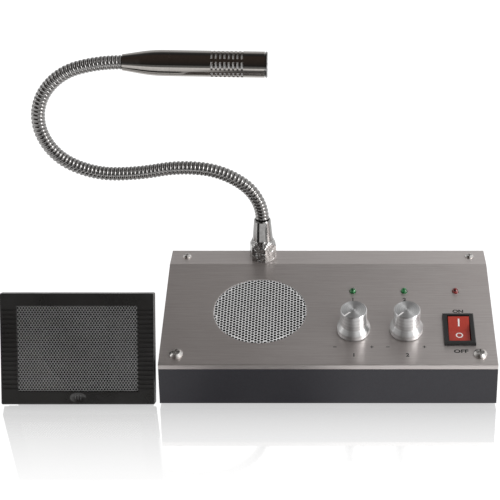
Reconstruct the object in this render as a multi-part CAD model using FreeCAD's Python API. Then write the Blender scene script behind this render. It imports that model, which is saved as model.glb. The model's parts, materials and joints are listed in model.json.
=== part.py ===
import FreeCAD, Part
import math
import os

from FreeCAD import Placement, Rotation, Vector

# Teller window intercom: a desk unit with a gooseneck microphone, and the outer unit that
# the customer speaks to. Millimetres. +X is the operator's right, +Y points to the back of
# the desk unit and +Z is up. The files have their origin on the counter, in the middle of
# the whole part's footprint. The drawing itself starts from the middle of the desk unit's
# footprint, and save() moves each piece across. Pieces on the sloping panel are drawn in the
# panel's own frame: x along its front edge, y up its slope and z out of it, with z = 0 on
# the face of the top plate.

# --- Fits -----------------------------------------------------------------------------
SEAM = 0.1
THREAD_GAP = 0.05
HOLE_GAP = 0.2
PIVOT_GAP = 0.05
MOVING_GAP = 0.35

# --- Desk unit: case ------------------------------------------------------------------
CASE_WIDTH = 160.0
CASE_FRONT_HEIGHT = 20.8
PANEL_LENGTH = 72.0
PANEL_SLOPE = 15.5
REAR_STRIP = 16.5
PLATE_SHEET = 1.2
PLATE_LIP = 2.3
PLATE_BEND = 0.8
TRAY_SHEET = 1.2
FOOT_HEIGHT = 1.5
FOOT_RADIUS = 6.0
FOOT_INSET_X = 18.0
FOOT_INSET_Y = 15.0

# --- Desk unit: plate screws ----------------------------------------------------------
SCREW_INSET_X = 8.0
FRONT_SCREW_V = 7.0
FRONT_SCREW_RADIUS = 1.75
FRONT_HEAD_RADIUS = 3.2
FRONT_HEAD_HEIGHT = 1.7
REAR_SCREW_RADIUS = 1.25
REAR_HEAD_RADIUS = 2.2
REAR_HEAD_HEIGHT = 1.3
PLATE_SCREW_LENGTH = 6.0
RECESS_ARM = 0.62
RECESS_DEPTH = 0.9
TAB_WIDTH = 10.0
TAB_REACH = 14.0
TAB_SHEET = 2.0

# --- Desk unit: loudspeaker -----------------------------------------------------------
SPEAKER_X = -33.2
SPEAKER_V = 37.4
SPEAKER_OPENING = 22.85
GRILLE_RADIUS = 25.5
GRILLE_SHEET = 0.5
GRILLE_SUNK = 0.2
GRILLE_PITCH = 1.775
GRILLE_HOLE = 0.62
GASKET_THICKNESS = 1.5
BASKET_RADIUS = 26.0
BASKET_SHEET = 0.9
BASKET_DEPTH = 9.0
BASKET_WINDOWS = 4
CONE_PAPER = 0.5
CONE_DEPTH = 5.0
COIL_RADIUS = 7.0
COIL_LENGTH = 6.0
MAGNET_RADIUS = 16.0
MAGNET_OVERHANG = 2.0
MAGNET_THICKNESS = 6.0
MAGNET_PLATE = 1.5
CLIP_COUNT = 4
CLIP_WIDTH = 5.0
CLIP_SHEET = 1.0
CLIP_FOOT = 3.5
CLIP_FINGER = 2.0

# --- Desk unit: controls --------------------------------------------------------------
CONTROL_PITCH = 25.4
FIRST_CONTROL_X = 12.2
CONTROL_V = 23.4
LED_V = 51.4
KNOB_HEIGHT = 13.8
KNOB_TOP_RADIUS = 6.3
KNOB_BASE_RADIUS = 6.45
KNOB_SKIRT_RADIUS = 7.95
KNOB_SKIRT_HEIGHT = 5.5
KNOB_RIM_HEIGHT = 2.7
KNOB_EDGE = 0.35
KNOB_LINE_WIDTH = 0.8
KNOB_LINE_DEPTH = 0.3
KNOB_LINE_START = 2.4
KNOB_LINE_DROP = 2.6
KNOB_REST_ANGLE = -135.0
KNOB_GAP = 0.4
SHAFT_RADIUS = 3.0
SHAFT_TOP = 11.0
SHAFT_SEAT = 0.02
BUSHING_RADIUS = 3.5
BUSHING_HEIGHT = 4.0
POT_NUT_FLATS = 10.0
POT_NUT_HEIGHT = 2.0
POT_RADIUS = 8.0
POT_DEPTH = 8.0
POT_BORE_DEPTH = 6.0
LED_RADIUS = 1.55
LED_STAND = 1.9
LED_BODY = 5.3
LED_FLANGE_RADIUS = 1.9
LED_FLANGE = 1.0
LED_LEG_RADIUS = 0.25
LED_LEG_PITCH = 2.54
LED_LEG_TAIL = 1.0
BOARD_THICKNESS = 1.6
CONTROL_BOARD_MARGIN = 9.5
CONTROL_BOARD_ARM = 6.0

# --- Desk unit: rocker switch ---------------------------------------------------------
SWITCH_BEZEL_X = 15.0
SWITCH_BEZEL_V = 21.0
SWITCH_BEZEL_HEIGHT = 1.8
SWITCH_CUTOUT_X = 13.0
SWITCH_CUTOUT_V = 19.2
SWITCH_WALL_X = 0.9
SWITCH_WALL_V = 0.55
SWITCH_DEPTH = 12.5
SWITCH_WELL = 9.4
SWITCH_LATCH = 0.6
SWITCH_LATCH_WIDTH = 6.0
SWITCH_LATCH_LENGTH = 4.0
ROCKER_SPAN = 15.6
ROCKER_HALF_ANGLE = 11.0
ROCKER_CREASE = 0.1
ROCKER_PIVOT_DEPTH = 3.4
ROCKER_SKIRT = 4.4
ROCKER_FOOT = 6.0
ROCKER_PIN_RADIUS = 1.25
TERMINAL_WIDTH = 4.8
TERMINAL_SHEET = 0.8
TERMINAL_LENGTH = 6.5
TERMINAL_PITCH = 10.0

# --- Desk unit: main board ------------------------------------------------------------
MAIN_BOARD_X = 2.0
MAIN_BOARD_WIDTH = 68.0
MAIN_BOARD_REAR_GAP = 3.0
MAIN_BOARD_DEPTH = 58.0
BOARD_HOLE_INSET = 4.0
STANDOFF_HEIGHT = 4.0
STANDOFF_FLATS = 5.5
BOARD_SCREW_RADIUS = 1.5
BOARD_SCREW_HEAD = 2.8
BOARD_SCREW_HEAD_HEIGHT = 1.6
BOARD_SCREW_LENGTH = 5.0
HEAT_SINK_X = 22.0
HEAT_SINK_WIDTH = 26.0
HEAT_SINK_DEPTH = 10.0
HEAT_SINK_HEIGHT = 15.0
HEAT_SINK_BASE = 2.5
HEAT_SINK_FINS = 6
HEAT_SINK_FIN = 1.2
HEAT_SINK_BACK = 17.0
CAPACITOR_RADIUS = 4.0
CAPACITOR_HEIGHT = 11.5
CAPACITOR_COUNT = 3
CAPACITOR_PITCH = 10.0
CAPACITOR_X = 28.0
CAPACITOR_BACK = 26.0

# --- Desk unit: rear sockets ----------------------------------------------------------
POWER_X = 14.0
POWER_BODY_WIDTH = 9.0
POWER_BODY_HEIGHT = 11.0
POWER_BODY_DEPTH = 12.0
POWER_NOSE_RADIUS = 4.0
POWER_BORE_RADIUS = 3.0
POWER_BORE_DEPTH = 9.5
POWER_PIN_RADIUS = 1.0
SOCKET_X = 55.0
SOCKET_WIDTH = 14.0
SOCKET_HEIGHT = 13.0
SOCKET_DEPTH = 16.0
SOCKET_MOUTH_WIDTH = 10.0
SOCKET_MOUTH_HEIGHT = 7.0
SOCKET_MOUTH_DEPTH = 12.0
SOCKET_MOUTH_LIFT = 3.5

# --- Gooseneck ------------------------------------------------------------------------
NECK_NUT_FLATS = 12.4
NECK_NUT_HEIGHT = 10.5
NECK_NUT_CHAMFER = 3.4
NECK_NUT_CROWN = 5.35
NECK_NUT_TURN = 42.0
NECK_SHANK_RADIUS = 4.8
NECK_SHANK_LENGTH = 8.0
NECK_WIRE_BORE = 2.0
LOCK_NUT_FLATS = 14.0
LOCK_NUT_HEIGHT = 4.0
SLEEVE_BASE_RADIUS = 5.2
SLEEVE_TOP_RADIUS = 4.2
SLEEVE_HEIGHT = 10.7
TUBE_RADIUS = 3.5
TUBE_SEAT = 3.0
LINK_LENGTH = 21.9
LINK_TURNS = (52.0, 31.0, 17.5, -10.5, -27.5, -45.0, -50.5, -41.5, -16.5)
LINK_GAP = 2.0
BALL_RADIUS = 2.8
SOCKET_GAP = 0.1

# --- Microphone -----------------------------------------------------------------------
MIC_LENGTH = 70.0
MIC_RADIUS = 6.35
MIC_TAIL_RADIUS = 3.95
MIC_TAPER = 14.5
MIC_TAPER_ROUND = 6.0
MIC_COLLAR = 23.0
MIC_WALL = 1.0
MIC_SPIGOT = 5.0
MIC_SLOT_START = 43.3
MIC_SLOT_PITCH = 2.07
MIC_SLOT_WIDTH = 1.0
MIC_SLOT_COLUMNS = 8
MIC_SLOT_ROWS = 7
MIC_SLOT_ARC = 38.0
MIC_SLOT_OFFSET = -46.5
MIC_SCREEN_SHEET = 0.3
MIC_SCREEN_MARGIN = 2.5
MIC_CAPSULE_LENGTH = 6.0
MIC_CAP = 1.3
MIC_CAP_EDGE = 0.4
MIC_CAP_LINE = 0.35
MIC_CAP_SPIGOT = 2.0
MIC_CAP_HOLE = 0.7
MIC_CAP_HOLES = 6
MIC_CAP_CIRCLE = 3.0

# --- Outer unit -----------------------------------------------------------------------
OUTER_X = -118.3
OUTER_FORWARD = 3.0
OUTER_LIFT = 2.5
OUTER_LEAN = 20.0
OUTER_WIDTH = 72.8
OUTER_HEIGHT = 53.0
OUTER_DEPTH = 5.0
OUTER_CORNER = 0.8
OUTER_EDGE = 0.5
MESH_WIDTH = 56.4
MESH_HEIGHT = 40.4
MESH_SHEET = 0.6
MESH_DEPTH = 1.0
MESH_LAP = 1.2
MESH_BEVEL = 0.4
MESH_PITCH = 2.0
MESH_ROW = 1.5
MESH_HOLE = 0.6
RIB_PITCH = 2.2
RIB_COUNT = 18
RIB_GROOVE = 1.0
RIB_DEPTH = 0.6
RIB_MARGIN = 0.6
RIB_INNER_GAP = 0.25
PORT_HEIGHT = 3.3
PORT_DISH_WIDTH = 7.8
PORT_DISH_HEIGHT = 4.8
PORT_DISH_DEPTH = 0.6
PORT_SLOTS = 3
PORT_SLOT_PITCH = 1.25
PORT_SLOT_WIDTH = 0.6
PORT_SLOT_LENGTH = 2.7
HOUSING_WIDTH = 59.0
HOUSING_DEPTH = 24.0
HOUSING_WALL = 1.6
HOUSING_FOOT = 7.4
HOUSING_HEAD = 46.5
HOUSING_BACK_FOOT = 13.0
HOUSING_BACK_HEAD = 43.5
HOUSING_FLANGE_INSET = 1.6
DRIVER_RADIUS = 18.5
DRIVER_LEDGE = 1.6
DRIVER_SHEET = 0.8
DRIVER_DEPTH = 7.5
DRIVER_FOOT_RADIUS = 10.0
DRIVER_CONE_DEPTH = 3.6
DRIVER_COIL_RADIUS = 5.0
DRIVER_COIL_LENGTH = 4.5
DRIVER_MAGNET_RADIUS = 11.0
DRIVER_MAGNET = 5.0
OUTER_MIC_RADIUS = 2.9
OUTER_MIC_LENGTH = 2.5
OUTER_MIC_W = 3.9
HOUSING_SCREW_RADIUS = 1.1
HOUSING_SCREW_HEAD = 2.0
HOUSING_SCREW_HEAD_HEIGHT = 1.3
HOUSING_SCREW_LENGTH = 4.5
HOUSING_SCREW_INSET = 4.0
HOUSING_SCREW_FOOT = 4.6
GROMMET_RADIUS = 4.0
GROMMET_NECK = 3.0
GROMMET_BORE = 2.1
GROMMET_LIP = 1.5
GROMMET_W = 37.0

# --- Outer unit: stand ----------------------------------------------------------------
PIVOT_DEPTH = 15.0
PIVOT_W = 26.0
PIVOT_SCREW_RADIUS = 2.0
PIVOT_SCREW_LENGTH = 6.5
PIVOT_HEAD_RADIUS = 4.0
PIVOT_HEAD_HEIGHT = 2.2
PIVOT_BOSS_RADIUS = 3.6
PIVOT_BOSS_LENGTH = 5.0
STAND_SHEET = 1.5
STAND_SIDE_GAP = 0.5
STAND_FRONT = 10.5
STAND_BACK = 14.5
STAND_EAR_RADIUS = 6.5
STAND_SCREW_PITCH = 36.0
STAND_SCREW_HOLE = 2.1
STAND_PAD = 1.0
STAND_PAD_INSET = 1.0

# --- Places worked out from the sizes ---------------------------------------------------
SLOPE = math.radians(PANEL_SLOPE)
CASE_DEPTH = PANEL_LENGTH * math.cos(SLOPE) + REAR_STRIP
FRONT_Y = -CASE_DEPTH / 2
BACK_Y = CASE_DEPTH / 2
BEND_Y = BACK_Y - REAR_STRIP
PANEL_FRONT_Z = FOOT_HEIGHT + CASE_FRONT_HEIGHT
PANEL_BACK_Z = PANEL_FRONT_Z + PANEL_LENGTH * math.sin(SLOPE)
STRIP_Y = BACK_Y - REAR_STRIP / 2
HALF_WIDTH = CASE_WIDTH / 2
TRAY_FLOOR = FOOT_HEIGHT + TRAY_SHEET
SCREW_X = HALF_WIDTH - SCREW_INSET_X
KNOB_XS = (FIRST_CONTROL_X, FIRST_CONTROL_X + CONTROL_PITCH)
SWITCH_X = FIRST_CONTROL_X + 2 * CONTROL_PITCH
LED_XS = KNOB_XS + (SWITCH_X,)
CONTROL_BOARD_TOP = -PLATE_SHEET - POT_DEPTH
BASKET_TOP = -PLATE_SHEET - GRILLE_SHEET - GASKET_THICKNESS
MAIN_BOARD_Z = TRAY_FLOOR + STANDOFF_HEIGHT
MAIN_BOARD_TOP = MAIN_BOARD_Z + BOARD_THICKNESS
MAIN_BOARD_BACK = BACK_Y - TRAY_SHEET - MAIN_BOARD_REAR_GAP
NECK_X = SPEAKER_X
SLEEVE_Z = PANEL_BACK_Z + NECK_NUT_HEIGHT
LINK_START_Z = SLEEVE_Z + SLEEVE_HEIGHT
MIC_BORE = MIC_RADIUS - MIC_WALL
MIC_SPIGOT_RADIUS = MIC_BORE - THREAD_GAP
OUTER_Y = FRONT_Y - OUTER_FORWARD
ROCKER_WIDTH = SWITCH_CUTOUT_X - 2 * (HOLE_GAP + SWITCH_WALL_X + MOVING_GAP)
ROCKER_WELL_V = SWITCH_CUTOUT_V - 2 * (HOLE_GAP + SWITCH_WALL_V)

X_AXIS = Vector(1, 0, 0)
Y_AXIS = Vector(0, 1, 0)
Z_AXIS = Vector(0, 0, 1)
PANEL = Placement(Vector(0, FRONT_Y, PANEL_FRONT_Z), Rotation(X_AXIS, PANEL_SLOPE))
OUTER = Placement(Vector(OUTER_X, OUTER_Y, OUTER_LIFT), Rotation(X_AXIS, -OUTER_LEAN))
WHOLE_LEFT = OUTER_X - OUTER_WIDTH / 2
TO_MIDDLE = Placement(Vector(-(WHOLE_LEFT + HALF_WIDTH) / 2, -(OUTER_Y + BACK_Y) / 2, 0), Rotation())


# --- Drawing helpers ------------------------------------------------------------------
def box(low, high):
    size = [b - a for a, b in zip(low, high)]
    return Part.makeBox(*size, Vector(*low))


def centred_box(x, y, width, depth, low, high):
    return box((x - width / 2, y - depth / 2, low), (x + width / 2, y + depth / 2, high))


def rod(radius, low, high, x=0.0, y=0.0):
    return Part.makeCylinder(radius, high - low, Vector(x, y, low))


def ring(outer, inner, low, high, x=0.0, y=0.0):
    return rod(outer, low, high, x, y).cut(rod(inner, low, high, x, y))


def turned(profile):
    """A solid of revolution about Z from (radius, height) points."""
    points = [Vector(radius, 0, height) for radius, height in profile]
    face = Part.Face(Part.makePolygon(points + points[:1]))
    return face.revolve(Vector(0, 0, 0), Z_AXIS, 360)


def prism_along_x(points, low, high):
    """A prism from (y, z) points."""
    corners = [Vector(low, y, z) for y, z in points]
    face = Part.Face(Part.makePolygon(corners + corners[:1]))
    return face.extrude(Vector(high - low, 0, 0))


def hex_prism(across_flats, low, high, x=0.0, y=0.0):
    """A hexagonal prism with a flat facing the front."""
    radius = across_flats / math.sqrt(3)
    turns = [math.radians(60 * k) for k in range(6)]
    corners = [Vector(x + radius * math.cos(t), y + radius * math.sin(t), low) for t in turns]
    face = Part.Face(Part.makePolygon(corners + corners[:1]))
    return face.extrude(Vector(0, 0, high - low))


def fused(shapes):
    first, rest = shapes[0], shapes[1:]
    return first.fuse(rest).removeSplitter() if rest else first


def placed(shape, placement):
    copy = shape.copy()
    copy.Placement = placement.multiply(copy.Placement)
    return copy


def on_panel(shape, x=0.0, v=0.0):
    return placed(shape, PANEL.multiply(Placement(Vector(x, v, 0), Rotation())))


def on_outer(shape):
    return placed(shape, OUTER)


def pointing_back(shape, x=0.0, y=0.0, z=0.0):
    """Turns a shape drawn along +Z so that it points along +Y, from a given place."""
    return placed(shape, Placement(Vector(x, y, z), Rotation(X_AXIS, -90)))


def polar(radius, degrees):
    angle = math.radians(degrees)
    return radius * math.cos(angle), radius * math.sin(angle)


def save(name, *shapes):
    shape = shapes[0] if len(shapes) == 1 else Part.makeCompound(list(shapes))
    placed(shape, TO_MIDDLE).exportStep("parts/" + name + ".step")


def pan_screw(radius, head_radius, head_height, length):
    """A cross-recessed pan head screw, its head seated on z = 0."""
    shoulder = head_height * 0.45
    crown = head_radius * 0.6
    head = turned([(0, 0), (head_radius, 0), (head_radius, shoulder), (crown, head_height), (0, head_height)])
    screw = fused([head, rod(radius, -length, 0.2)])
    arm = head_radius * RECESS_ARM
    width = head_radius * 0.22
    floor = head_height - min(RECESS_DEPTH, head_height * 0.7)
    across = box((-arm, -width / 2, floor), (arm, width / 2, head_height + 1))
    along = box((-width / 2, -arm, floor), (width / 2, arm, head_height + 1))
    return screw.cut([across, along])


# --- Case -----------------------------------------------------------------------------
def plate_outline():
    return [
        (FRONT_Y, PANEL_FRONT_Z - PLATE_LIP),
        (FRONT_Y, PANEL_FRONT_Z),
        (BEND_Y, PANEL_BACK_Z),
        (BACK_Y, PANEL_BACK_Z),
        (BACK_Y, PANEL_BACK_Z - PLATE_LIP),
    ]


def crossing(first, second):
    (ay, az), (by, bz) = first
    (cy, cz), (dy, dz) = second
    across = (by - ay) * (dz - cz) - (bz - az) * (dy - cy)
    t = ((cy - ay) * (dz - cz) - (cz - az) * (dy - cy)) / across
    return ay + t * (by - ay), az + t * (bz - az)


def moved_inward(path, distance):
    """An open path moved to its right by a distance, with mitred corners."""
    lines = []
    for (y0, z0), (y1, z1) in zip(path, path[1:]):
        length = math.hypot(y1 - y0, z1 - z0)
        side_y = (z1 - z0) / length * distance
        side_z = (y0 - y1) / length * distance
        lines.append(((y0 + side_y, z0 + side_z), (y1 + side_y, z1 + side_z)))
    corners = [crossing(a, b) for a, b in zip(lines, lines[1:])]
    return [lines[0][0]] + corners + [lines[-1][1]]


def runs_along_x(edge, y, z):
    a, b = edge.Vertexes[0].Point, edge.Vertexes[-1].Point
    along = abs(abs(a.x - b.x) - CASE_WIDTH) < 0.01
    return along and math.hypot(a.y - y, a.z - z) < 0.01


def screw_places():
    """Each plate screw's place on the sheet: (x, screw is at the front)."""
    return [(side * SCREW_X, front) for side in (-1, 1) for front in (True, False)]


def top_plate():
    outline = plate_outline()
    plate = prism_along_x(outline + moved_inward(outline, PLATE_SHEET)[::-1], -HALF_WIDTH, HALF_WIDTH)
    bends = [e for e in plate.Edges for y, z in (outline[1], outline[3]) if runs_along_x(e, y, z)]
    plate = plate.makeFillet(PLATE_BEND, bends)
    deep = -2 * PLATE_SHEET
    holes = [on_panel(rod(SPEAKER_OPENING, deep, 1, SPEAKER_X, SPEAKER_V))]
    holes += [on_panel(rod(BUSHING_RADIUS + HOLE_GAP, deep, 1, x, CONTROL_V)) for x in KNOB_XS]
    holes += [on_panel(rod(LED_RADIUS + HOLE_GAP, deep, 1, x, LED_V)) for x in LED_XS]
    holes.append(on_panel(centred_box(SWITCH_X, CONTROL_V, SWITCH_CUTOUT_X, SWITCH_CUTOUT_V, deep, 1)))
    holes.append(rod(NECK_SHANK_RADIUS + HOLE_GAP, PANEL_BACK_Z + deep, PANEL_BACK_Z + 1, NECK_X, STRIP_Y))
    for x, front in screw_places():
        if front:
            holes.append(on_panel(rod(FRONT_SCREW_RADIUS + HOLE_GAP, deep, 1, x, FRONT_SCREW_V)))
        else:
            holes.append(rod(REAR_SCREW_RADIUS + HOLE_GAP, PANEL_BACK_Z + deep, PANEL_BACK_Z + 1, x, STRIP_Y))
    return plate.cut(holes)


def tray_outline():
    outer = plate_outline()
    under = moved_inward(outer, PLATE_SHEET + SEAM)
    front_rim = outer[0][1] - SEAM
    back_rim = outer[-1][1] - SEAM
    return [
        (FRONT_Y, FOOT_HEIGHT),
        (FRONT_Y, front_rim),
        (under[0][0], front_rim),
        *under[1:-1],
        (under[-1][0], back_rim),
        (BACK_Y, back_rim),
        (BACK_Y, FOOT_HEIGHT),
    ]


def screw_tabs():
    """Sheet tabs on the side walls that take the plate screws."""
    root = HALF_WIDTH - TRAY_SHEET / 2
    top = -PLATE_SHEET - SEAM
    tabs = []
    for side in (-1, 1):
        low, high = sorted((side * root, side * (root - TAB_REACH)))
        front = box((low, FRONT_SCREW_V - TAB_WIDTH / 2, top - TAB_SHEET), (high, FRONT_SCREW_V + TAB_WIDTH / 2, top))
        front = front.cut(rod(FRONT_SCREW_RADIUS + THREAD_GAP, top - TAB_SHEET, top, side * SCREW_X, FRONT_SCREW_V))
        z = PANEL_BACK_Z + top
        rear = box((low, STRIP_Y - TAB_WIDTH / 2, z - TAB_SHEET), (high, STRIP_Y + TAB_WIDTH / 2, z))
        rear = rear.cut(rod(REAR_SCREW_RADIUS + THREAD_GAP, z - TAB_SHEET, z, side * SCREW_X, STRIP_Y))
        tabs += [on_panel(front), rear]
    return tabs


def base_tray():
    shell = prism_along_x(tray_outline(), -HALF_WIDTH, HALF_WIDTH)
    inner_x = HALF_WIDTH - TRAY_SHEET
    inner = box((-inner_x, FRONT_Y + TRAY_SHEET, TRAY_FLOOR), (inner_x, BACK_Y - TRAY_SHEET, PANEL_BACK_Z + 1))
    tray = fused([shell.cut(inner)] + screw_tabs())
    nose = rod(POWER_NOSE_RADIUS + HOLE_GAP, -2 * TRAY_SHEET, 1)
    nose = pointing_back(nose, POWER_X, BACK_Y, MAIN_BOARD_TOP + POWER_BODY_HEIGHT / 2)
    window = centred_box(
        SOCKET_X,
        BACK_Y - TRAY_SHEET / 2,
        SOCKET_WIDTH + 2 * HOLE_GAP,
        2 * TRAY_SHEET,
        MAIN_BOARD_TOP - HOLE_GAP,
        MAIN_BOARD_TOP + SOCKET_HEIGHT + HOLE_GAP,
    )
    return tray.cut([nose, window])


def rubber_feet():
    x = HALF_WIDTH - FOOT_INSET_X
    y = BACK_Y - FOOT_INSET_Y
    edge = FOOT_HEIGHT / 3
    foot = turned([(0, 0), (FOOT_RADIUS - edge, 0), (FOOT_RADIUS, edge), (FOOT_RADIUS, FOOT_HEIGHT), (0, FOOT_HEIGHT)])
    return [placed(foot, Placement(Vector(i * x, j * y, 0), Rotation())) for i in (-1, 1) for j in (-1, 1)]


def plate_screws(front):
    if front:
        screw = pan_screw(FRONT_SCREW_RADIUS, FRONT_HEAD_RADIUS, FRONT_HEAD_HEIGHT, PLATE_SCREW_LENGTH)
        return [on_panel(screw, side * SCREW_X, FRONT_SCREW_V) for side in (-1, 1)]
    screw = pan_screw(REAR_SCREW_RADIUS, REAR_HEAD_RADIUS, REAR_HEAD_HEIGHT, PLATE_SCREW_LENGTH)
    seats = [Placement(Vector(side * SCREW_X, STRIP_Y, PANEL_BACK_Z), Rotation()) for side in (-1, 1)]
    return [placed(screw, seat) for seat in seats]


# --- Loudspeaker of the desk unit -------------------------------------------------------
def perforated_disc(radius, low, high, pitch, hole, hole_limit):
    """A disc with a triangular pattern of round holes, columns running up the slope."""
    face_wires = [Part.Wire(Part.makeCircle(radius, Vector(0, 0, low)))]
    column = pitch * math.sqrt(3) / 2
    reach = int(hole_limit / column) + 1
    for i in range(-reach, reach + 1):
        for j in range(-reach, reach + 1):
            x, y = i * column, (j + 0.5 * (i % 2)) * pitch
            if math.hypot(x, y) + hole < hole_limit:
                face_wires.append(Part.Wire(Part.makeCircle(hole, Vector(x, y, low))))
    return Part.Face(face_wires).extrude(Vector(0, 0, high - low))


def on_speaker(shape):
    return on_panel(shape, SPEAKER_X, SPEAKER_V)


def speaker_grille():
    """A pressed sheet: its rim lies under the plate and its face stands up in the opening."""
    rim, face = -PLATE_SHEET, -GRILLE_SUNK
    outer = SPEAKER_OPENING - HOLE_GAP
    inner = outer - GRILLE_SHEET
    wall = turned([
        (GRILLE_RADIUS, rim),
        (outer, rim),
        (outer, face),
        (inner, face),
        (inner, rim - GRILLE_SHEET),
        (GRILLE_RADIUS, rim - GRILLE_SHEET),
    ])
    disc = perforated_disc(inner, face - GRILLE_SHEET, face, GRILLE_PITCH, GRILLE_HOLE, inner)
    return on_speaker(wall.fuse(disc))


def speaker_gasket():
    low = BASKET_TOP
    return on_speaker(ring(GRILLE_RADIUS, SPEAKER_OPENING + HOLE_GAP, low, low + GASKET_THICKNESS))


def basket_wall(depth):
    """The inner radius of the basket's sloping wall at a depth under its rim."""
    top_radius = SPEAKER_OPENING - BASKET_SHEET
    foot_radius = MAGNET_RADIUS - MAGNET_OVERHANG - BASKET_SHEET / 2
    return top_radius + (foot_radius - top_radius) * depth / (BASKET_DEPTH - BASKET_SHEET)


def speaker_basket():
    """Rim, sloping wall with windows, and the seat of the magnet."""
    top, bottom = BASKET_TOP, BASKET_TOP - BASKET_DEPTH
    wall_top = SPEAKER_OPENING
    wall_foot = MAGNET_RADIUS - MAGNET_OVERHANG
    hole = COIL_RADIUS + 1.5
    basket = turned([
        (BASKET_RADIUS, top),
        (BASKET_RADIUS, top - BASKET_SHEET),
        (wall_top, top - BASKET_SHEET),
        (wall_foot, bottom),
        (hole, bottom),
        (hole, bottom + BASKET_SHEET),
        (basket_wall(BASKET_DEPTH - BASKET_SHEET), bottom + BASKET_SHEET),
        (basket_wall(0), top),
    ])
    width = wall_foot * 0.8
    low, high = bottom + 2 * BASKET_SHEET, top - 2 * BASKET_SHEET
    window = box((hole + 1, -width / 2, low), (BASKET_RADIUS, width / 2, high))
    windows = []
    for k in range(BASKET_WINDOWS):
        turn = Rotation(Z_AXIS, 360 / BASKET_WINDOWS * k)
        windows.append(placed(window, Placement(Vector(), turn)))
    return on_speaker(basket.cut(windows))


def diaphragm(rim, coil_radius, top, depth, coil_length):
    """Paper cone with its rolled surround, dust cap and voice coil."""
    low = top - depth
    roll = rim * 0.1
    cone = turned([
        (coil_radius, low),
        (rim - roll, top - CONE_PAPER),
        (rim - roll / 2, top + CONE_PAPER / 2),
        (rim, top - CONE_PAPER),
        (rim, top - 2 * CONE_PAPER),
        (rim - roll / 2, top - CONE_PAPER / 2),
        (rim - roll, top - 2 * CONE_PAPER),
        (coil_radius, low - CONE_PAPER),
    ])
    cap_rise = coil_radius * 0.35
    cap_ball = (coil_radius ** 2 + cap_rise ** 2) / (2 * cap_rise)
    centre = Vector(0, 0, low + cap_rise - cap_ball)
    cap = Part.makeSphere(cap_ball, centre).cut(Part.makeSphere(cap_ball - CONE_PAPER, centre))
    cap = cap.common(rod(coil_radius, low - CONE_PAPER / 2, low + cap_rise + 1))
    coil = ring(coil_radius, coil_radius - CONE_PAPER, low - coil_length, low)
    return fused([cone, coil, cap])


def speaker_cone():
    rim = basket_wall(3 * CONE_PAPER) - SEAM
    return on_speaker(diaphragm(rim, COIL_RADIUS, BASKET_TOP - CONE_PAPER, CONE_DEPTH, COIL_LENGTH))


def ring_magnet(radius, coil_radius, magnet, plate, top):
    """A ring magnet between two steel plates, with the pole inside the voice coil."""
    gap = coil_radius + 0.6
    pole = coil_radius - CONE_PAPER - 0.6
    body = turned([
        (gap, top),
        (radius - 1.5, top),
        (radius - 1.5, top - plate),
        (radius, top - plate),
        (radius, top - plate - magnet),
        (radius - 1.5, top - plate - magnet),
        (radius - 1.5, top - 2 * plate - magnet),
        (0, top - 2 * plate - magnet),
        (0, top - plate / 2),
        (pole, top - plate / 2),
        (pole, top - plate - magnet),
        (gap + 1, top - plate - magnet),
        (gap + 1, top - plate),
        (gap, top - plate),
    ])
    return body


def speaker_magnet():
    seat = BASKET_TOP - BASKET_DEPTH
    return on_speaker(ring_magnet(MAGNET_RADIUS, COIL_RADIUS, MAGNET_THICKNESS, MAGNET_PLATE, seat))


def speaker_clips():
    """Clips welded under the plate that press the loudspeaker's rim up."""
    inner = BASKET_RADIUS - CLIP_FINGER
    outer = BASKET_RADIUS + HOLE_GAP
    under_rim = BASKET_TOP - BASKET_SHEET
    half = CLIP_WIDTH / 2
    finger = box((inner, -half, under_rim - CLIP_SHEET), (outer + CLIP_SHEET, half, under_rim))
    riser = box((outer, -half, under_rim - CLIP_SHEET), (outer + CLIP_SHEET, half, -PLATE_SHEET))
    foot = box((outer, -half, -PLATE_SHEET - CLIP_SHEET), (outer + CLIP_FOOT, half, -PLATE_SHEET))
    clip = fused([finger, riser, foot])
    turns = [Rotation(Z_AXIS, 45 + 360 / CLIP_COUNT * k) for k in range(CLIP_COUNT)]
    return [on_speaker(placed(clip, Placement(Vector(), turn))) for turn in turns]


# --- Volume controls and lamps ----------------------------------------------------------
def volume_knob(x):
    recess = POT_NUT_FLATS / math.sqrt(3) + MOVING_GAP
    nut_roof = POT_NUT_HEIGHT + MOVING_GAP
    neck = BUSHING_RADIUS + MOVING_GAP
    neck_roof = BUSHING_HEIGHT + MOVING_GAP
    bore = SHAFT_RADIUS + SHAFT_SEAT
    bore_roof = SHAFT_TOP + SHAFT_SEAT
    knob = turned([
        (recess, KNOB_GAP),
        (KNOB_SKIRT_RADIUS, KNOB_GAP),
        (KNOB_SKIRT_RADIUS, KNOB_GAP + KNOB_RIM_HEIGHT),
        (KNOB_BASE_RADIUS, KNOB_SKIRT_HEIGHT),
        (KNOB_TOP_RADIUS, KNOB_HEIGHT - KNOB_EDGE),
        (KNOB_TOP_RADIUS - KNOB_EDGE, KNOB_HEIGHT),
        (0, KNOB_HEIGHT),
        (0, bore_roof),
        (bore, bore_roof),
        (bore, neck_roof),
        (neck, neck_roof),
        (neck, nut_roof),
        (recess, nut_roof),
    ])
    half = KNOB_LINE_WIDTH / 2
    top = box((KNOB_LINE_START, -half, KNOB_HEIGHT - KNOB_LINE_DEPTH), (KNOB_BASE_RADIUS + 1, half, KNOB_HEIGHT + 1))
    side_start = KNOB_TOP_RADIUS - KNOB_LINE_DEPTH
    side = box((side_start, -half, KNOB_HEIGHT - KNOB_LINE_DROP), (KNOB_BASE_RADIUS + 1, half, KNOB_HEIGHT + 1))
    turn = Placement(Vector(), Rotation(Z_AXIS, KNOB_REST_ANGLE))
    return on_panel(knob.cut([placed(top, turn), placed(side, turn)]), x, CONTROL_V)


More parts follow.
